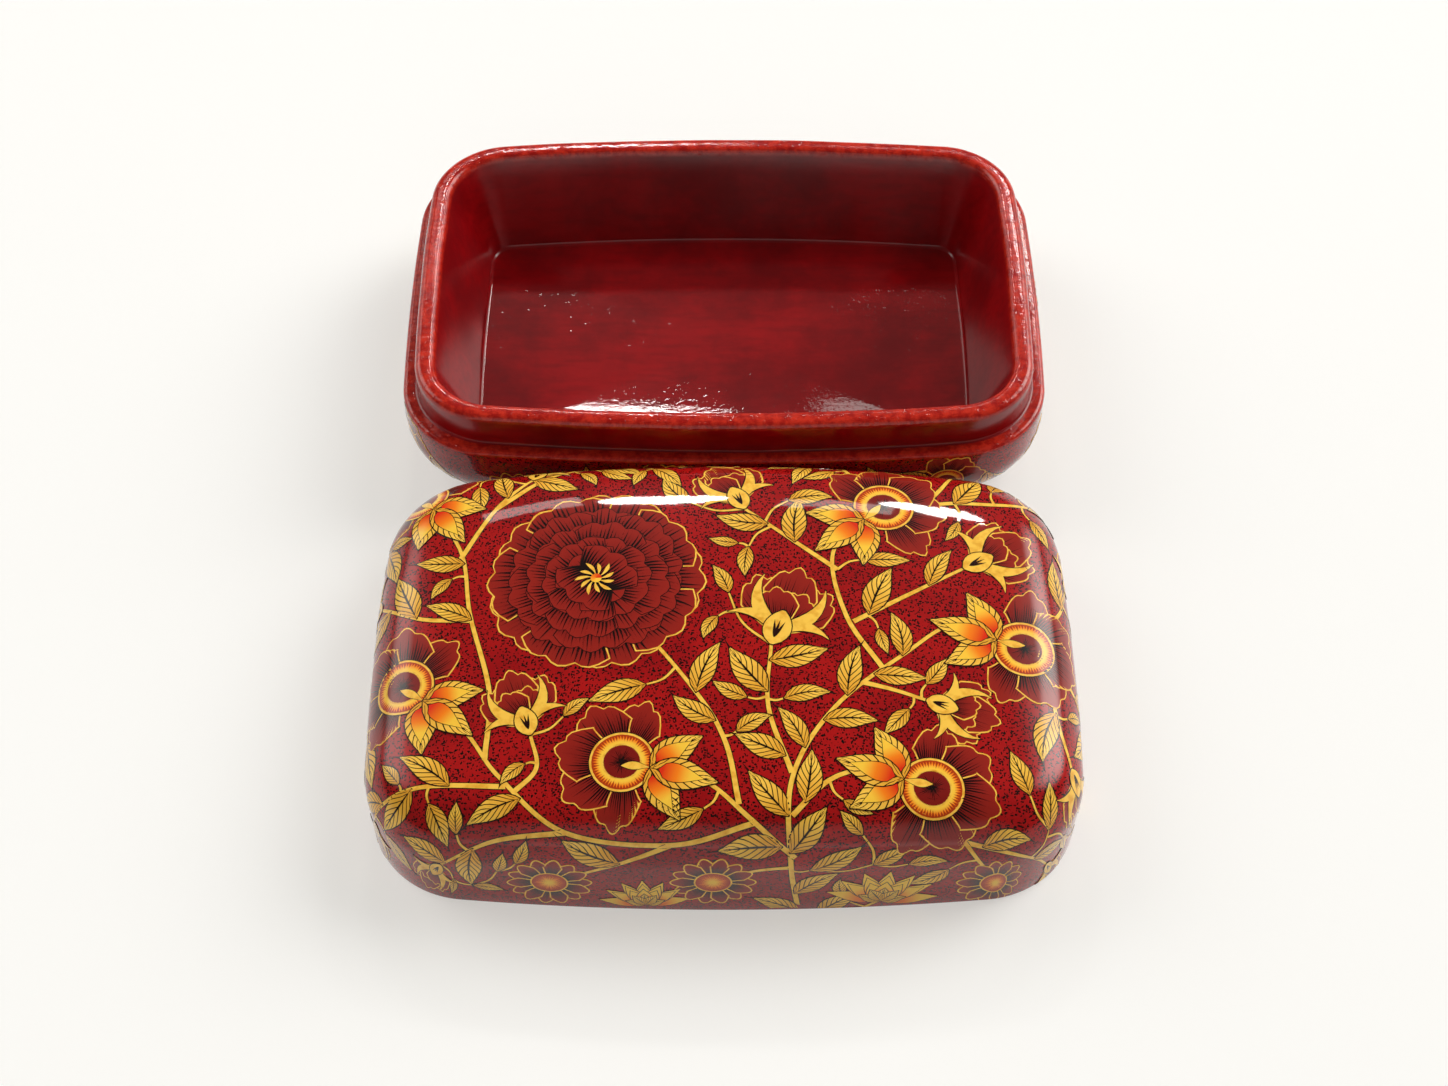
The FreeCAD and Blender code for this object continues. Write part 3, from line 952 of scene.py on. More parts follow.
def flame_petals(art, place, heading, size, petals, width_share, level):
    """Hatched gold petals with a glowing drop in each. Gives the level above them."""
    width = width_share * size
    for turn, length_share, bend in petals:
        length = length_share * size
        way = heading + turn
        art.edged_blade("leaf", place, way, length, width, swell=0.78, bend=bend, level=level,
                        margin=FLAME_EDGE)
        drop = along_blade(place, way, length, bend, DROP_START_SHARE)
        art.edged_blade("flame", drop, way + DROP_START_SHARE * bend, DROP_LENGTH_SHARE * length,
                        DROP_WIDTH_SHARE * width, swell=0.62, bend=DROP_LENGTH_SHARE * bend, level=level + 2,
                        margin=DROP_EDGE)
        level += 4
    return level


def dark_petals(art, place, heading, size, petals):
    """Ruffled dark petals from one place. Gives the level above them."""
    level = FLOWER_LEVEL
    for turn, length, width in petals:
        art.fan("petal", place, heading + turn, length * size, width * size, root=0.3, level=level)
        level += 2
    return level


def rosette(art, place, radius):
    """A full many-petalled flower with gold stamens."""
    level = FLOWER_LEVEL
    art.disc("ink", place, ROSETTE_GROUND_SHARE * radius, level)
    for number, (count, inner, outer) in enumerate(ROSETTE_RINGS):
        edge, margin = ("gold", ROSETTE_EDGE) if number == 0 else ("ink", FRILL_EDGE)
        for petal in range(count):
            shake = art.random.uniform(-ROSETTE_SHAKE, ROSETTE_SHAKE)
            turn = FULL_TURN * (petal + ROSETTE_TWIST * number) / count + shake
            reach = (outer - inner) * radius * art.random.uniform(*ROSETTE_LENGTH_SHARES)
            width = ROSETTE_OVERLAP * FULL_TURN * outer * radius / count
            art.fan("frill", step(place, turn, inner * radius), turn, reach, width, root=0.6,
                    level=level + 2 * (petal % 2), depth=0.13, rounding=0.34, edge=edge, margin=margin)
        level += 4
    for number in range(STAMENS):
        turn = FULL_TURN * number / STAMENS
        art.blade("gold", step(place, turn, STAMEN_START), turn, radius * STAMEN_SHARES[number % 2],
                  STAMEN_WIDTH, swell=1.6, bend=0.9, level=level)
    art.disc("flame", place, ROSETTE_EYE, level + 1, DOT_SLAB)


def ring_blossom(art, place, heading, radius):
    """An open blossom: ruffled dark petals and glowing sepals on two sides of a striped ring."""
    level = FLOWER_LEVEL
    middle = step(place, heading, BLOSSOM_MIDDLE_SHARE * radius)
    hub = step(place, heading, BLOSSOM_HUB_SHARE * radius)
    for turn, length, width in BLOSSOM_PETALS:
        start = step(middle, heading + turn, BLOSSOM_ROOT_SHARE * radius)
        reach = length * radius * art.random.uniform(*BLOSSOM_LENGTH_SHARES)
        art.fan("petal", start, heading + turn, reach, width * radius, root=0.42, level=level, depth=0.11,
                rounding=0.5)
        level += 2
    for paint, inner, outer, above in BLOSSOM_RINGS:
        art.ring(paint, middle, inner * radius, outer * radius, level + above)
    level += 3
    art.edged_blade("gold", hub, heading, TONGUE_LENGTH_SHARE * radius, TONGUE_WIDTH_SHARE * radius,
                    swell=1.3, bend=0.3, level=level, margin=DROP_EDGE)
    flame_petals(art, hub, heading + math.pi, radius, BLOSSOM_SEPALS, BLOSSOM_SEPAL_WIDTH_SHARE, level)


def cup(art, place, heading, size, level):
    """Long curved gold sepals from the top of a swollen base with inked veins."""
    mouth = step(place, heading, MOUTH_SHARE * size)
    for side in (-1, 1):
        for turn, bend, length, width in CUP_SEPALS:
            art.edged_blade("gold", mouth, heading + turn * side, length * size, width * size, swell=0.6,
                            bend=bend * side, level=level, margin=SEPAL_EDGE)
        level += 2
    art.edged_blade("gold", place, heading, CUP_LENGTH_SHARE * size, CUP_WIDTH_SHARE * size, swell=0.9,
                    bend=0, level=level, margin=SEPAL_EDGE, fullness=0.65)
    root = step(place, heading, CUP_VEIN_START_SHARE * size)
    for turn in CUP_VEIN_TURNS:
        art.blade("ink", root, heading + turn, CUP_VEIN_LENGTH_SHARE * size, CUP_VEIN_WIDTH_SHARE * size,
                  swell=0.7, bend=0, level=level + 2, mesh=DOT_SLAB)


def tulip(art, place, heading, size):
    """Three glowing petals over two dark ones, in a gold cup."""
    mouth = step(place, heading, MOUTH_SHARE * size)
    level = dark_petals(art, mouth, heading, size, TULIP_PETALS)
    level = flame_petals(art, mouth, heading, size, TULIP_FLAMES, TULIP_FLAME_WIDTH_SHARE, level)
    cup(art, place, heading, TULIP_CUP_SHARE * size, level)


def bud(art, place, heading, size):
    """A half-open dark flower held by long gold sepals."""
    mouth = step(place, heading, MOUTH_SHARE * size)
    level = dark_petals(art, mouth, heading, size, BUD_PETALS)
    cup(art, place, heading, size, level)


def daisy(art, place, radius):
    """A round dark daisy with a glowing middle."""
    for number in range(DAISY_PETALS):
        turn = FULL_TURN * number / DAISY_PETALS
        art.fan("petal", step(place, turn, DAISY_START_SHARE * radius), turn, DAISY_LENGTH_SHARE * radius,
                DAISY_WIDTH_SHARE * radius, root=0.5, level=FLOWER_LEVEL + 2 * (number % 2), scallops=1,
                depth=0.0, rounding=0.45, mesh=NARROW_SLAB)
    level = FLOWER_LEVEL + 4
    art.disc("gold", place, DAISY_EDGE_SHARE * radius, level)
    art.disc("ring", place, DAISY_EYE_SHARE * radius, level + 1)


def lotus(art, place, heading, size):
    """Pointed glowing petals in rows above gold sepals."""
    level = FLOWER_LEVEL
    for count, spread, length in LOTUS_ROWS:
        for number in range(count):
            turn = heading + spread * (2 * number / (count - 1) - 1)
            art.edged_blade("flame", place, turn, length * size, LOTUS_WIDTH_SHARE * size, swell=0.8, bend=0,
                            level=level + 2 * (number % 2), margin=LOTUS_EDGE)
        level += 4
    for number, turn in enumerate(LOTUS_SEPAL_TURNS):
        art.edged_blade("leaf", place, heading + turn, LOTUS_SEPAL_LENGTH_SHARE * size,
                        LOTUS_SEPAL_WIDTH_SHARE * size, swell=0.8, bend=0, level=level + 2 * (number % 2),
                        margin=LOTUS_EDGE)


# Room that flowers take: how far along the heading, and the radius, as shares of their size
ROUND_ROOM_SHARE = 1.03
BLOSSOM_ROOM_SHARES = [(0.42, 0.92), (-0.6, 0.52)]
STANDING_ROOM_SHARES = [(0.58, 0.5), (0.14, 0.2)]


class Vine:
    """A layout that keeps its flowers, leaves and shoots clear of each other."""

    LEAF_TURNS = (0.75, 1.05, 0.5, 1.3)
    LEAF_BEND = 0.7
    LEAF_LENGTH_SHARES = (0.85, 1.1)
    LEAF_WIDTH_SHARES = (0.38, 0.46)
    LEAF_MIDDLE_SHARE = 0.55
    LEAF_ROOM_SHARE = 0.27
    TIP_ROOM_SHARE = 0.08
    CLAIM_PLACE_SHARES = (0.3, 0.75)
    CLAIM_ROOM_SHARE = 0.21
    FILL_LENGTH_SHARES = (1.0, 0.8, 0.65, 0.52)
    SPRIG_ROOM_SHARE = 0.28
    SPRIG_TURN = 0.4
    SHOOT_LENGTH_SHARES = (0.3, 2.4)
    SHOOT_BOW_SHARE = 0.12
    SHOOT_WIDTH_SHARE = 0.55
    SHOOT_ROOM = 0.0008
    SHOOT_CLAIM = 0.0012

    def __init__(self, art, within, leaf_length, stem_width):
        self.art = art
        self.within = within
        self.leaf_length = leaf_length
        self.stem_width = stem_width
        self.taken = []
        self.paths = []

    def claim(self, place, radius):
        self.taken.append((place[0], place[1], radius))

    def free(self, place, radius):
        if not self.within(place):
            return False
        return all(math.hypot(place[0] - x, place[1] - y) > radius + room for x, y, room in self.taken)

    def stem(self, points, share=1.0, mesh=STEM_SLAB):
        path, way = self.art.stem(points, self.stem_width * share, mesh)
        self.paths.append(path)
        return path, way

    def leaf(self, place, heading, length):
        """Paint a leaf if there is room for it, and say whether there was."""
        middle = step(place, heading, self.LEAF_MIDDLE_SHARE * length)
        if not self.free(middle, self.LEAF_ROOM_SHARE * length):
            return False
        if not self.free(step(place, heading, length), self.TIP_ROOM_SHARE * length):
            return False
        bend = self.art.random.uniform(-self.LEAF_BEND, self.LEAF_BEND)
        width = length * self.art.random.uniform(*self.LEAF_WIDTH_SHARES)
        leaf(self.art, place, heading, length, width, bend)
        for share in self.CLAIM_PLACE_SHARES:
            self.claim(step(place, heading, share * length), self.CLAIM_ROOM_SHARE * length)
        return True

    def dress(self, path, way, spacing):
        """Leaves on alternate sides of a stem."""
        run = run_along(path)
        side = 1
        for distance in np.arange(0.5 * spacing, run[-1], spacing):
            number = int(np.searchsorted(run, distance))
            heading = math.atan2(way[number][1], way[number][0])
            for turn in self.LEAF_TURNS:
                length = self.leaf_length * self.art.random.uniform(*self.LEAF_LENGTH_SHARES)
                if self.leaf(path[number], heading + side * turn, length):
                    break
            side = -side

    def sprig(self, tip, length):
        """A leaf on a thin shoot from the nearest stem, if there is room for both."""
        places = np.vstack(self.paths)
        away = np.linalg.norm(places - np.array(tip), axis=1)
        root = places[away.argmin()]
        reach = away.min()
        shortest, longest = self.SHOOT_LENGTH_SHARES
        if reach > longest * length or reach < shortest * length:
            return
        heading = math.atan2(tip[1] - root[1], tip[0] - root[0])
        side = 1 if self.art.random.rand() < 0.5 else -1
        middle = step(root, heading, 0.5 * reach)
        middle = step(middle, heading + side * QUARTER_TURN, self.SHOOT_BOW_SHARE * reach)
        end = heading - self.SPRIG_TURN * side
        leaf_middle = step(tip, end, self.LEAF_MIDDLE_SHARE * length)
        room = self.free(leaf_middle, self.SPRIG_ROOM_SHARE * length) and self.free(middle, self.SHOOT_ROOM)
        if room and self.leaf(tip, end, length):
            self.stem([root, middle, tip], self.SHOOT_WIDTH_SHARE, SHOOT_SLAB)
            self.claim(middle, self.SHOOT_CLAIM)

    def fill(self, places):
        """Sprigs near the given places, from the longest leaves to the shortest."""
        for share in self.FILL_LENGTH_SHARES:
            for place in places:
                shift = self.art.random.uniform(-0.5, 0.5, 2) * self.leaf_length
                self.sprig((place[0] + shift[0], place[1] + shift[1]), share * self.leaf_length)

    def flower(self, motif, place, heading, size):
        """Paint a flower and claim its room. Round flowers lie about their place, others stand on it."""
        if motif in (rosette, daisy):
            motif(self.art, place, size)
            self.claim(place, ROUND_ROOM_SHARE * size)
            return
        motif(self.art, place, heading, size)
        for along, room in BLOSSOM_ROOM_SHARES if motif is ring_blossom else STANDING_ROOM_SHARES:
            self.claim(step(place, heading, along * size), room * size)


# The shells
LEAN_ANGLE = math.atan2(INSIDE_LEAN, NECK_TOP - FLOOR_HEIGHT)
CORNER_TURN_SHARE = math.tan((QUARTER_TURN - LEAN_ANGLE) / 2)
NECK_INNER = NECK_INSET + NECK_WALL
FLOOR_INSET = NECK_INNER + INSIDE_LEAN
LEDGE_COVE = 0.0008
BAND_COVE = FOOT_RADIUS - TRAY_WALL
BAND_OVERLAP = 0.00012
FLOOR_RISE = 0.0006
FLOOR_DISH = 0.0018
FLOOR_DISH_POWER = 3
BOARD_GAP = 0.00015
COVE_OVERLAP = 0.0002
LEDGE_MIDDLE_INSET = 0.0035
LEDGE_STRIP = 0.0006
LEDGE_TILT = 0.3
RIM_STRIP = 0.0002
NECK_WOBBLE_DEPTH = 0.0003
NECK_WOBBLE_LENGTH = 0.022

# Places of rings along each face
DOME_SHARES = np.linspace(0.06, 1, 20)
SHOULDER_SHARES = np.linspace(0, 1, 17)[1:]
LID_WALL_SHARES = (0.75, 0.5, 0.25)
INSIDE_WALL_SHARES = (0.33, 0.66)
INSIDE_SHOULDER_SHARES = np.linspace(1, 0, 11)
INSIDE_DOME_SHARES = np.linspace(1, 0.1, 8)[1:]
UNDER_SHARES = (0.2, 0.6)
TRAY_WALL_HEIGHTS = (0.022, 0.025)
NECK_RISES = (0.003, 0.006)
NECK_SHARES = (0.25, 0.45, 0.65, 0.85, 1.0)
FLOOR_SHARES = (0.96, 0.9, 0.82, 0.72, 0.6, 0.45, 0.3, 0.15)

lid_outside = Cushion(GROUND_DEPTH, LID_TOP - GROUND_DEPTH, SHOULDER_RADIUS - GROUND_DEPTH,
                      DOME_RADIUS - GROUND_DEPTH, EDGE_FALL)
lid_inside = Cushion(LID_WALL, LID_TOP - LID_TOP_WALL, SHOULDER_RADIUS - LID_WALL,
                     DOME_RADIUS - LID_TOP_WALL, 0.0)


def lid_rings():
    """Rings from the top of the lid down its outside, round the rim and up its inside."""
    edge = RIM_EDGE_RADIUS
    rings = [lid_outside.dome_ring(share) for share in DOME_SHARES]
    rings += [lid_outside.shoulder_ring(share) for share in SHOULDER_SHARES]
    rings += [lid_outside.wall_ring(share, edge) for share in LID_WALL_SHARES]
    rings += arc_rings(GROUND_DEPTH + edge, edge, edge, 0, -QUARTER_TURN, steps=6, middle_y=LID_MIDDLE_Y)
    rings += arc_rings(LID_WALL - edge, edge, edge, -QUARTER_TURN, -2 * QUARTER_TURN, steps=6,
                       middle_y=LID_MIDDLE_Y)
    rings += [lid_inside.wall_ring(share, edge) for share in INSIDE_WALL_SHARES]
    rings += [lid_inside.shoulder_ring(share) for share in INSIDE_SHOULDER_SHARES]
    rings += [lid_inside.dome_ring(share) for share in INSIDE_DOME_SHARES]
    return rings


def tray_rings():
    """Rings from under the tray up its outside, over the ledge and down its inside."""
    foot = FOOT_RADIUS - GROUND_DEPTH
    edge = LEDGE_EDGE_RADIUS
    under = level_ring(FOOT_RADIUS, 0)
    inside = level_ring(FOOT_RADIUS, TRAY_BOTTOM)
    rings = [shrunk_ring(under, share) for share in UNDER_SHARES]
    rings += arc_rings(FOOT_RADIUS, foot, foot, -QUARTER_TURN, 0, steps=15)
    rings += [level_ring(GROUND_DEPTH, height) for height in TRAY_WALL_HEIGHTS]
    rings += arc_rings(GROUND_DEPTH + edge, LEDGE_HEIGHT - edge, edge, 0, QUARTER_TURN, steps=6)
    rings += [level_ring(inset, LEDGE_HEIGHT) for inset in (LEDGE_MIDDLE_INSET, TRAY_WALL)]
    rings += arc_rings(FOOT_RADIUS, TRAY_BOTTOM + BAND_COVE, BAND_COVE, 0, -QUARTER_TURN, steps=10)
    rings += [shrunk_ring(inside, share) for share in UNDER_SHARES[::-1]]
    return rings


def neck_rings():
    """Rings from under the neck up its outside, over its top and down its leaning inside."""
    edge = NECK_EDGE_RADIUS
    cove = LEDGE_COVE
    under = BAND_COVE + TRAY_WALL - NECK_INSET
    inner = NECK_INNER - CORNER_TURN_SHARE * edge
    rings = [level_ring(FLOOR_INSET, BAND_FOOT)]
    rings += arc_rings(FOOT_RADIUS, BAND_FOOT + under, under, -QUARTER_TURN, 0, steps=8)
    rings += [level_ring(NECK_INSET, LEDGE_HEIGHT - COVE_OVERLAP)]
    rings += arc_rings(NECK_INSET - cove, LEDGE_HEIGHT + cove, cove, -QUARTER_TURN, -2 * QUARTER_TURN,
                       steps=5)
    rings += [level_ring(NECK_INSET, LEDGE_HEIGHT + rise) for rise in NECK_RISES]
    rings += arc_rings(NECK_INSET + edge, NECK_TOP - edge, edge, 0, QUARTER_TURN, steps=7)
    rings += arc_rings(inner, NECK_TOP - edge, edge, QUARTER_TURN, 2 * QUARTER_TURN - LEAN_ANGLE, steps=7)
    rings += [level_ring(NECK_INNER + INSIDE_LEAN * share, NECK_TOP + (FLOOR_HEIGHT - NECK_TOP) * share)
              for share in NECK_SHARES]
    return uneven(rings, NECK_WOBBLE_DEPTH, NECK_WOBBLE_LENGTH)


def floor_rings():
    """Rings from under the floor board round its coved edge and over its dished top."""
    cove = FLOOR_COVE
    inset = FLOOR_INSET + CORNER_TURN_SHARE * cove - BAND_OVERLAP
    under = level_ring(FLOOR_INSET + BOARD_GAP, BAND_FOOT)
    rings = [shrunk_ring(under, share) for share in (*UNDER_SHARES, 1.0)]
    rings += arc_rings(inset, FLOOR_HEIGHT + FLOOR_RISE + cove, cove, -LEAN_ANGLE, -QUARTER_TURN, steps=8)
    edge = rings[-1]
    for share in FLOOR_SHARES:
        ring = shrunk_ring(edge, share)
        ring[:, 2] -= FLOOR_DISH * (1 - share ** FLOOR_DISH_POWER)
        rings.append(ring)
    return rings


def wear(piece, second_material, test):
    """Give the faces that pass a test the second material."""
    piece.data.materials.append(second_material)
    for face in piece.data.polygons:
        if test(face.center, face.normal):
            face.material_index = 1


# Each crimson is painted a lighter orange red near one height: worn paint and a painted highlight
crimson = crimson_lacquer("crimson_lacquer", NECK_TOP, wear_and_sheen_reach=0.0028, coat_roughness=0.2)
ledge = crimson_lacquer("ledge_lacquer", LEDGE_HEIGHT, wear_and_sheen_reach=0.003, coat_roughness=0.05)
inside = crimson_lacquer("inside_lacquer", 0.0, wear_and_sheen_reach=0.003, coat_roughness=0.025)
ground = painted("stippled_ground", ground_colour)

tray = ring_shell("tray_shell", tray_rings())
tray.data.materials.append(ground)
wear(tray, ledge, lambda centre, normal: centre.z > LEDGE_HEIGHT - LEDGE_STRIP or normal.z > LEDGE_TILT)
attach(tray, "tray")
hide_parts("base_shell")

neck = ring_shell("neck_band", neck_rings(), closed_round=True)
neck.data.materials.append(crimson)
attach(neck, "tray")
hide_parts("neck_liner")

floor_panel = ring_shell("floor_panel", floor_rings())
floor_panel.data.materials.append(inside)
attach(floor_panel, "tray")
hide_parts("floor_board")

lid = ring_shell("lid_cover", lid_rings(), LID_MIDDLE_Y)
lid.data.materials.append(ground)


def faces_in(centre, normal):
    """Whether a face of the lid is on its inside."""
    out = Vector((centre.x, centre.y - LID_MIDDLE_Y, LID_TOP))
    return normal.dot(out) < 0 and centre.z > RIM_STRIP


wear(lid, inside, faces_in)
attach(lid, "lid")
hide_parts("lid_shell")

PAINTS = {name: painted(name + "_paint", colour_of) for name, colour_of in (
    ("ink", ink_colour), ("gold", gold_colour), ("petal", petal_colour), ("frill", frill_colour),
    ("leaf", leaf_colour), ("flame", flame_colour), ("ring", ring_colour), ("eye", eye_colour))}

# The lid's painting, laid out on the flat in millimetres from its middle
MM = 0.001
# Motif, place across and back, heading and size
LID_FLOWERS = [
    (rosette, -36, 17, 0, 31),
    (ring_blossom, 42, 40, 0.7, 18), (ring_blossom, 78, -3, -0.3, 18.5), (ring_blossom, -84, -20, 2.45, 18),
    (ring_blossom, -86, 48, 2.2, 17), (ring_blossom, -22, -44, 2.9, 18), (ring_blossom, 50, -48, -0.3, 18),
    (ring_blossom, -8, 76, 0.5, 15), (ring_blossom, 104, 58, 0.6, 15),
    (bud, 13, -6, 1.25, 28), (bud, 55, -23, -0.3, 21), (bud, 6, 42, 2.0, 22), (bud, 68, 22, 0.55, 24),
    (bud, 102, 22, 0.9, 20), (bud, 68, 62, 1.3, 20), (bud, 95, -40, -0.9, 20), (bud, -52, -34, 1.9, 22),
    (bud, -100, 14, 2.7, 20), (bud, -56, 56, 1.3, 19), (bud, 32, 76, 1.6, 18), (bud, -116, -24, 3.2, 17),
    (bud, -114, 40, 3.4, 17), (bud, -104, -54, 3.7, 19), (bud, -78, -72, -2.4, 18), (bud, 100, -72, -0.3, 18),
    (tulip, 114, -28, -0.5, 21), (tulip, -40, 84, 1.6, 18),
    (daisy, -3, -82, 0, 11.5), (daisy, -48, -82, 0, 11.5), (daisy, 76, -82, 0, 11.5),
    (lotus, 44, -92, 1.5, 16), (lotus, -22, -94, 1.6, 13),
]
LID_STEMS = [
    [(22, -104), (18, -74), (18, -48), (30, -26), (50, -8), (64, 2), (78, -3)],
    [(18, -46), (12, -26), (13, -6)],
    [(38, -18), (46, -20), (55, -23)],
    [(44, -14), (34, 4), (31, 26), (42, 40)],
    [(32, 20), (20, 30), (6, 42)],
    [(36, 2), (52, 12), (68, 22)],
    [(78, -3), (94, 8), (102, 22)],
    [(42, 40), (64, 46), (86, 48), (104, 58)],
    [(58, 45), (64, 53), (68, 62)],
    [(42, 40), (36, 60), (32, 76)],
    [(78, -3), (98, -14), (114, -28)],
    [(90, -9), (91, -26), (95, -40)],
    [(18, -58), (28, -48), (38, -45), (50, -48)],
    [(19, -70), (6, -58), (-6, -48), (-22, -44)],
    [(8, -60), (-14, -66), (-42, -62), (-60, -46), (-70, -32), (-84, -20)],
    [(-56, -51), (-50, -44), (-52, -34)],
    [(4, -55), (0, -36), (-10, -18), (-36, 17)],
    [(-64, -41), (-64, -20), (-71, 6), (-75, 28), (-86, 48)],
    [(-71, 4), (-86, 6), (-100, 14)],
    [(-75, 26), (-66, 44), (-56, 56)],
    [(-66, 44), (-44, 62), (-24, 70), (-8, 76)],
    [(-44, 62), (-42, 72), (-40, 84)],
    [(-84, -20), (-100, -24), (-116, -24)],
    [(-86, 48), (-100, 44), (-114, 40)],
    [(-58, -49), (-82, -48), (-104, -54)],
    [(-42, -62), (-62, -64), (-78, -72)],
    [(18, -74), (8, -76), (-3, -82)],
    [(-14, -66), (-32, -74), (-48, -82)],
    [(22, -98), (34, -100), (44, -92)],
    [(50, -48), (64, -64), (76, -82)],
    [(64, -64), (82, -68), (100, -72)],
]

# The lid's vine, in metres
LID_BARE_STRIP = 0.004
LID_LEAF_LENGTH = 0.016
LID_STEM_WIDTH = 0.0015
LID_LEAF_SPACING = 0.0102
LID_FILL_X = np.arange(-0.13, 0.131, 0.006)
LID_FILL_Y = np.arange(-0.096, 0.097, 0.006)
STEM_CLAIMS = 30
STEM_ROOM = 0.0001


def on_lid(place):
    """Whether a flat place lies above the bare strip at the lid's rim."""
    _, past, bend, height = lid_outside.past_dome(np.array([place]))
    return bool((past - bend)[0] < height[0] - LID_BARE_STRIP)


def paint_lid():
    art = Painting("lid_art", lid_outside.at, lid_outside.bends, "lid", seed=11)
    vine = Vine(art, on_lid, LID_LEAF_LENGTH, LID_STEM_WIDTH)
    for motif, x, y, heading, size in LID_FLOWERS:
        vine.flower(motif, (x * MM, y * MM), heading, size * MM)
    main = [vine.stem([(x * MM, y * MM) for x, y in points]) for points in LID_STEMS]
    for path, _ in main:
        for share in np.linspace(0, 1, STEM_CLAIMS):
            vine.claim(path[int(share * (len(path) - 1))], STEM_ROOM)
    for path, way in main:
        vine.dress(path, way, LID_LEAF_SPACING)
    vine.fill([(x, y) for x in LID_FILL_X for y in LID_FILL_Y])
    art.finish(PAINTS)


paint_lid()


class TrayWall:
    """The tray's outside opened flat: along is the way round, up is along the wall from its top edge."""

    TABLE_STEPS = 4000

    def __init__(self):
        angles = np.linspace(-QUARTER_TURN, 3 * QUARTER_TURN, self.TABLE_STEPS)
        centre, radius, outward = outline.arcs_at(angles)
        ring = centre + (radius - GROUND_DEPTH)[:, None] * outward
        self.angles = angles
        self.run = run_along(ring)
        self.length = self.run[-1]
        self.straight = LEDGE_HEIGHT - LEDGE_EDGE_RADIUS - FOOT_RADIUS + GROUND_DEPTH
        self.foot = FOOT_RADIUS - GROUND_DEPTH

    def at(self, plan):
        """Points and normals for flat places, wrapped down the wall and round the foot."""
        angle = np.interp(np.mod(plan[:, 0], self.length), self.run, self.angles)
        centre, radius, outward = outline.arcs_at(angle)
        down = np.clip(-plan[:, 1], 0, None)
        swing = np.clip((down - self.straight) / self.foot, 0, QUARTER_TURN)
        inset = GROUND_DEPTH + self.foot * (1 - np.cos(swing))
        on_foot = self.foot * (1 - np.sin(swing))
        height = np.where(down < self.straight, self.foot + self.straight - down, on_foot)
        ring = centre + (radius - inset)[:, None] * outward
        normals = np.column_stack([outward * np.cos(swing)[:, None], -np.sin(swing)])
        return np.column_stack([ring, height]), normals


# The tray's border, in metres from the wall's top edge
TRAY_ART_LOW = -0.029
TRAY_ART_MIDDLE = -0.0145
TRAY_ART_HIGH = -0.002
TRAY_UNITS = 14
TRAY_LEAF_LENGTH = 0.011
TRAY_STEM_WIDTH = 0.0013
TRAY_LEAF_SPACING = 0.0075
TRAY_STEM_SWING = 0.008
TRAY_FLOWER_SHIFT = 0.003
TRAY_BLOSSOM_SIZE = 0.0115
TRAY_BLOSSOM_HEADING = 0.2
TRAY_DAISY_SIZE = 0.0105


def paint_tray():
    """A running border: blossoms and daisies in turn on a wavy stem."""
    wall = TrayWall()
    art = Painting("tray_art", wall.at, lambda plan: True, "tray", seed=23)
    vine = Vine(art, lambda place: TRAY_ART_LOW < place[1] < TRAY_ART_HIGH, TRAY_LEAF_LENGTH, TRAY_STEM_WIDTH)
    unit = wall.length / TRAY_UNITS
    for number in range(TRAY_UNITS):
        along = (number + 0.5) * unit
        if number % 2:
            place = (along, TRAY_ART_MIDDLE + TRAY_FLOWER_SHIFT)
            vine.flower(ring_blossom, place, TRAY_BLOSSOM_HEADING, TRAY_BLOSSOM_SIZE)
        else:
            vine.flower(daisy, (along, TRAY_ART_MIDDLE - TRAY_FLOWER_SHIFT), 0, TRAY_DAISY_SIZE)
    main = []
    for number in range(TRAY_UNITS):
        start = number * unit
        peak = TRAY_ART_MIDDLE + (TRAY_STEM_SWING if number % 2 else -TRAY_STEM_SWING)
        main.append(vine.stem([(start, TRAY_ART_MIDDLE), (start + 0.25 * unit, peak),
                               (start + 0.75 * unit, peak), (start + unit, TRAY_ART_MIDDLE)]))
    for path, way in main:
        vine.dress(path, way, TRAY_LEAF_SPACING)
    art.finish(PAINTS)


paint_tray()

# Camera, floor and light
CAMERA_PLACE = (0, -0.4916, 0.5571)
CAMERA_TILT = math.radians(36.8)
LENS = 56.29
SENSOR_WIDTH = 36
FLOOR_SIZE = 8
FLOOR_COLOUR = rgb(188, 189, 190)
FLOOR_SEEN_COLOUR = rgb(254, 252, 246)
FLOOR_SEEN_LEVEL = 0.5

# Windows behind the box: name, azimuth, elevation, width, height, watts and shape
WINDOWS = [
    ("window_left", -5, 40, 0.23, 0.065, 2.2, "ELLIPSE"),
    ("window_far_left", -17, 39.5, 0.22, 0.06, 0.22, "RECTANGLE"),
    ("window_middle", 9.5, 41, 0.22, 0.06, 0.22, "RECTANGLE"),
    ("window_right", 19, 39.5, 0.26, 0.055, 1.8, "ELLIPSE"),
]
WINDOW_AIM = Vector((0, -0.1, 0.03))
WINDOW_DISTANCE = 1.6
WINDOW_COLOUR = (1.0, 0.97, 0.93)

# Room light: azimuth, elevation, reach in degrees and level of each glow
ROOM_GLOWS = [(60, 35, 27, 7.6), (-60, 35, 27, 3.5), (180, 18, 40, 0.7)]
ROOM_COLOUR = rgb(254, 251, 246)
ROOM_LEVEL = 0.1
GLOW_FULL = 0.9945
HORIZON_TOP = 0.25
HORIZON_LEVEL = 0.85


def towards(azimuth, elevation):
    """The way to a light. The azimuth is 0 behind the box and grows to the right."""
    turn = math.radians(azimuth)
    rise = math.radians(elevation)
    return Vector((math.cos(rise) * math.sin(turn), math.cos(rise) * math.cos(turn), math.sin(rise)))


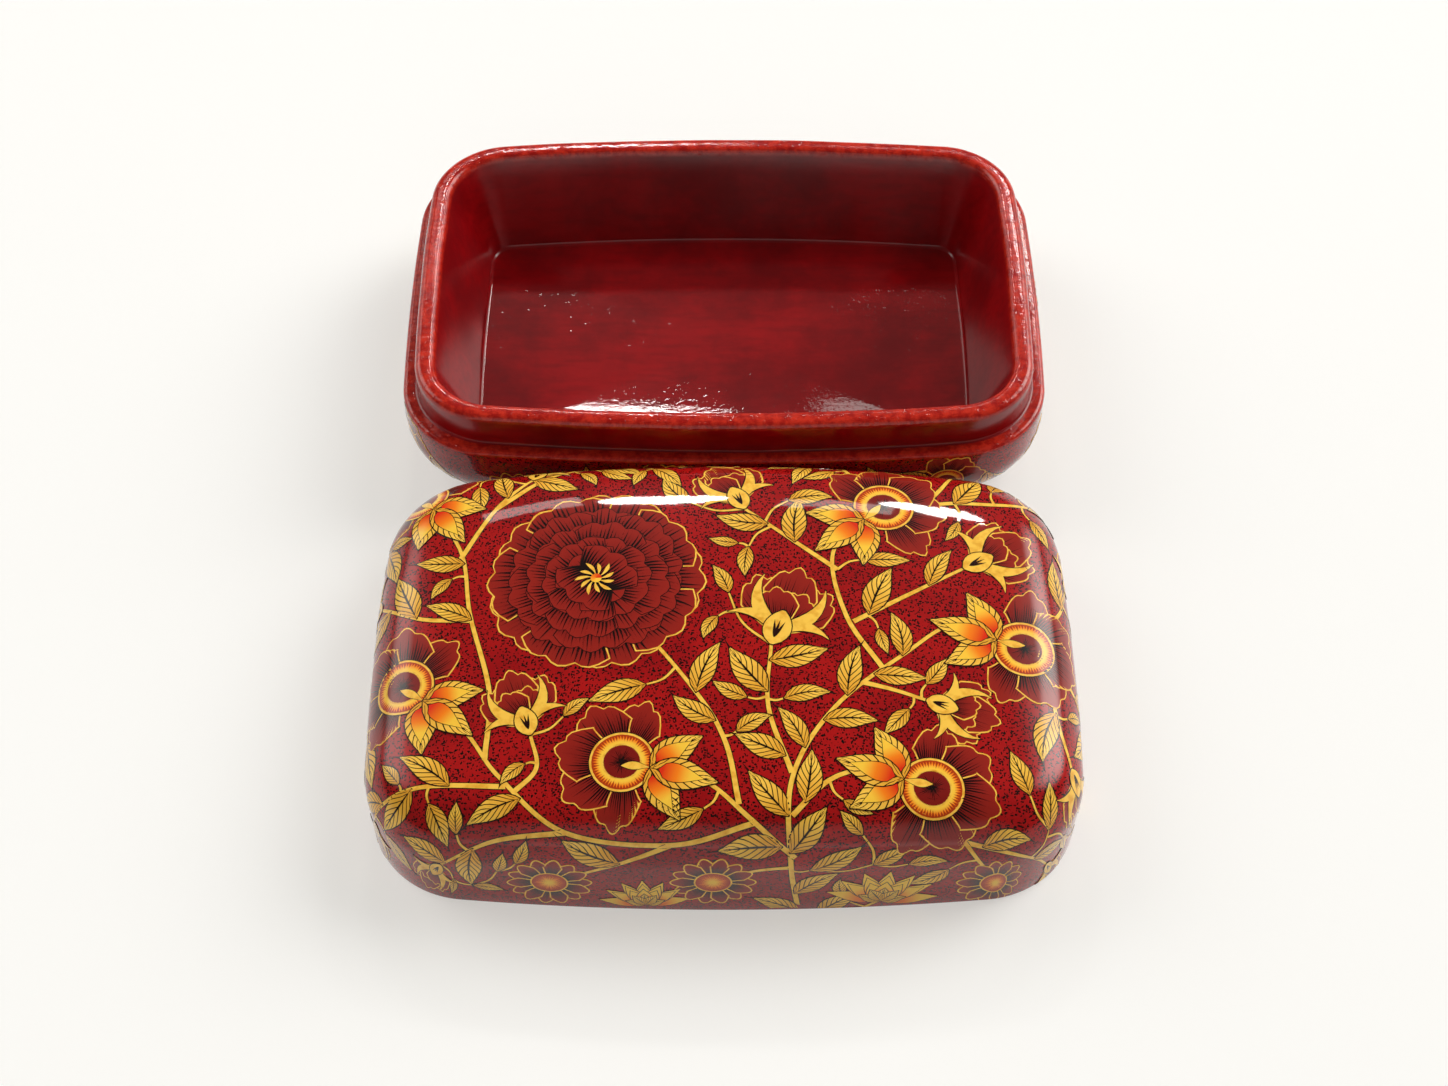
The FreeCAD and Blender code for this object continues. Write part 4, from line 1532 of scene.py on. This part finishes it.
def window_light(name, azimuth, elevation, width, height, power, shape):
    """A small soft panel that faces the box."""
    way = towards(azimuth, elevation)
    bpy.ops.object.light_add(type="AREA", location=WINDOW_AIM + way * WINDOW_DISTANCE)
    light = bpy.context.object
    light.name = name
    light.data.shape = shape
    light.data.size = width
    light.data.size_y = height
    light.data.energy = power
    light.data.color = WINDOW_COLOUR
    light.rotation_euler = way.to_track_quat("Z", "Y").to_euler()


def pale_floor():
    """A pale floor that looks white where it is lit and keeps the shadow."""
    paint = Paint("pale_floor")
    rays = paint.node("ShaderNodeLightPath").outputs
    seen = paint.larger(rays["Is Camera Ray"], rays["Is Glossy Ray"])
    seen = paint.larger(seen, rays["Is Transmission Ray"])
    paint.feed(paint.shader, {"Base Color": FLOOR_COLOUR, "Roughness": 0.7, "Specular IOR Level": 0.1,
                              "Emission Color": FLOOR_SEEN_COLOUR,
                              "Emission Strength": paint.times(seen, FLOOR_SEEN_LEVEL)})
    return paint.material


def soft_room():
    """A dim room with broad soft glows at both sides and in front, and a pale horizon."""
    world = bpy.data.worlds.new("soft_room")
    bpy.context.scene.world = world
    world.use_nodes = True
    room = Paint.of_tree(world.node_tree, "Background")
    way = room.node("ShaderNodeTexCoord").outputs["Generated"]
    strength = ROOM_LEVEL
    for azimuth, elevation, reach, level in ROOM_GLOWS:
        inputs = {0: way, 1: towards(azimuth, elevation)}
        facing = room.node("ShaderNodeVectorMath", inputs, operation="DOT_PRODUCT").outputs["Value"]
        glow = room.between(facing, math.cos(math.radians(reach)), GLOW_FULL, 0.0, level)
        strength = room.maths("ADD", glow, strength)
    horizon = room.between(room.part(way, "Z"), HORIZON_TOP, 0.0, 0.0, HORIZON_LEVEL)
    room.feed(room.shader, {"Color": ROOM_COLOUR, "Strength": room.maths("ADD", horizon, strength)})


def studio():
    deselect()
    bpy.ops.object.camera_add(location=CAMERA_PLACE, rotation=(CAMERA_TILT, 0, 0))
    camera = bpy.context.object
    camera.data.lens = LENS
    camera.data.sensor_width = SENSOR_WIDTH
    bpy.context.scene.camera = camera
    bpy.ops.mesh.primitive_plane_add(size=FLOOR_SIZE, location=(0, 0, 0))
    floor = bpy.context.object
    floor.name = "floor"
    floor.data.materials.append(pale_floor())
    for window in WINDOWS:
        window_light(*window)
    soft_room()
    bpy.context.scene.view_settings.view_transform = "Standard"


studio()
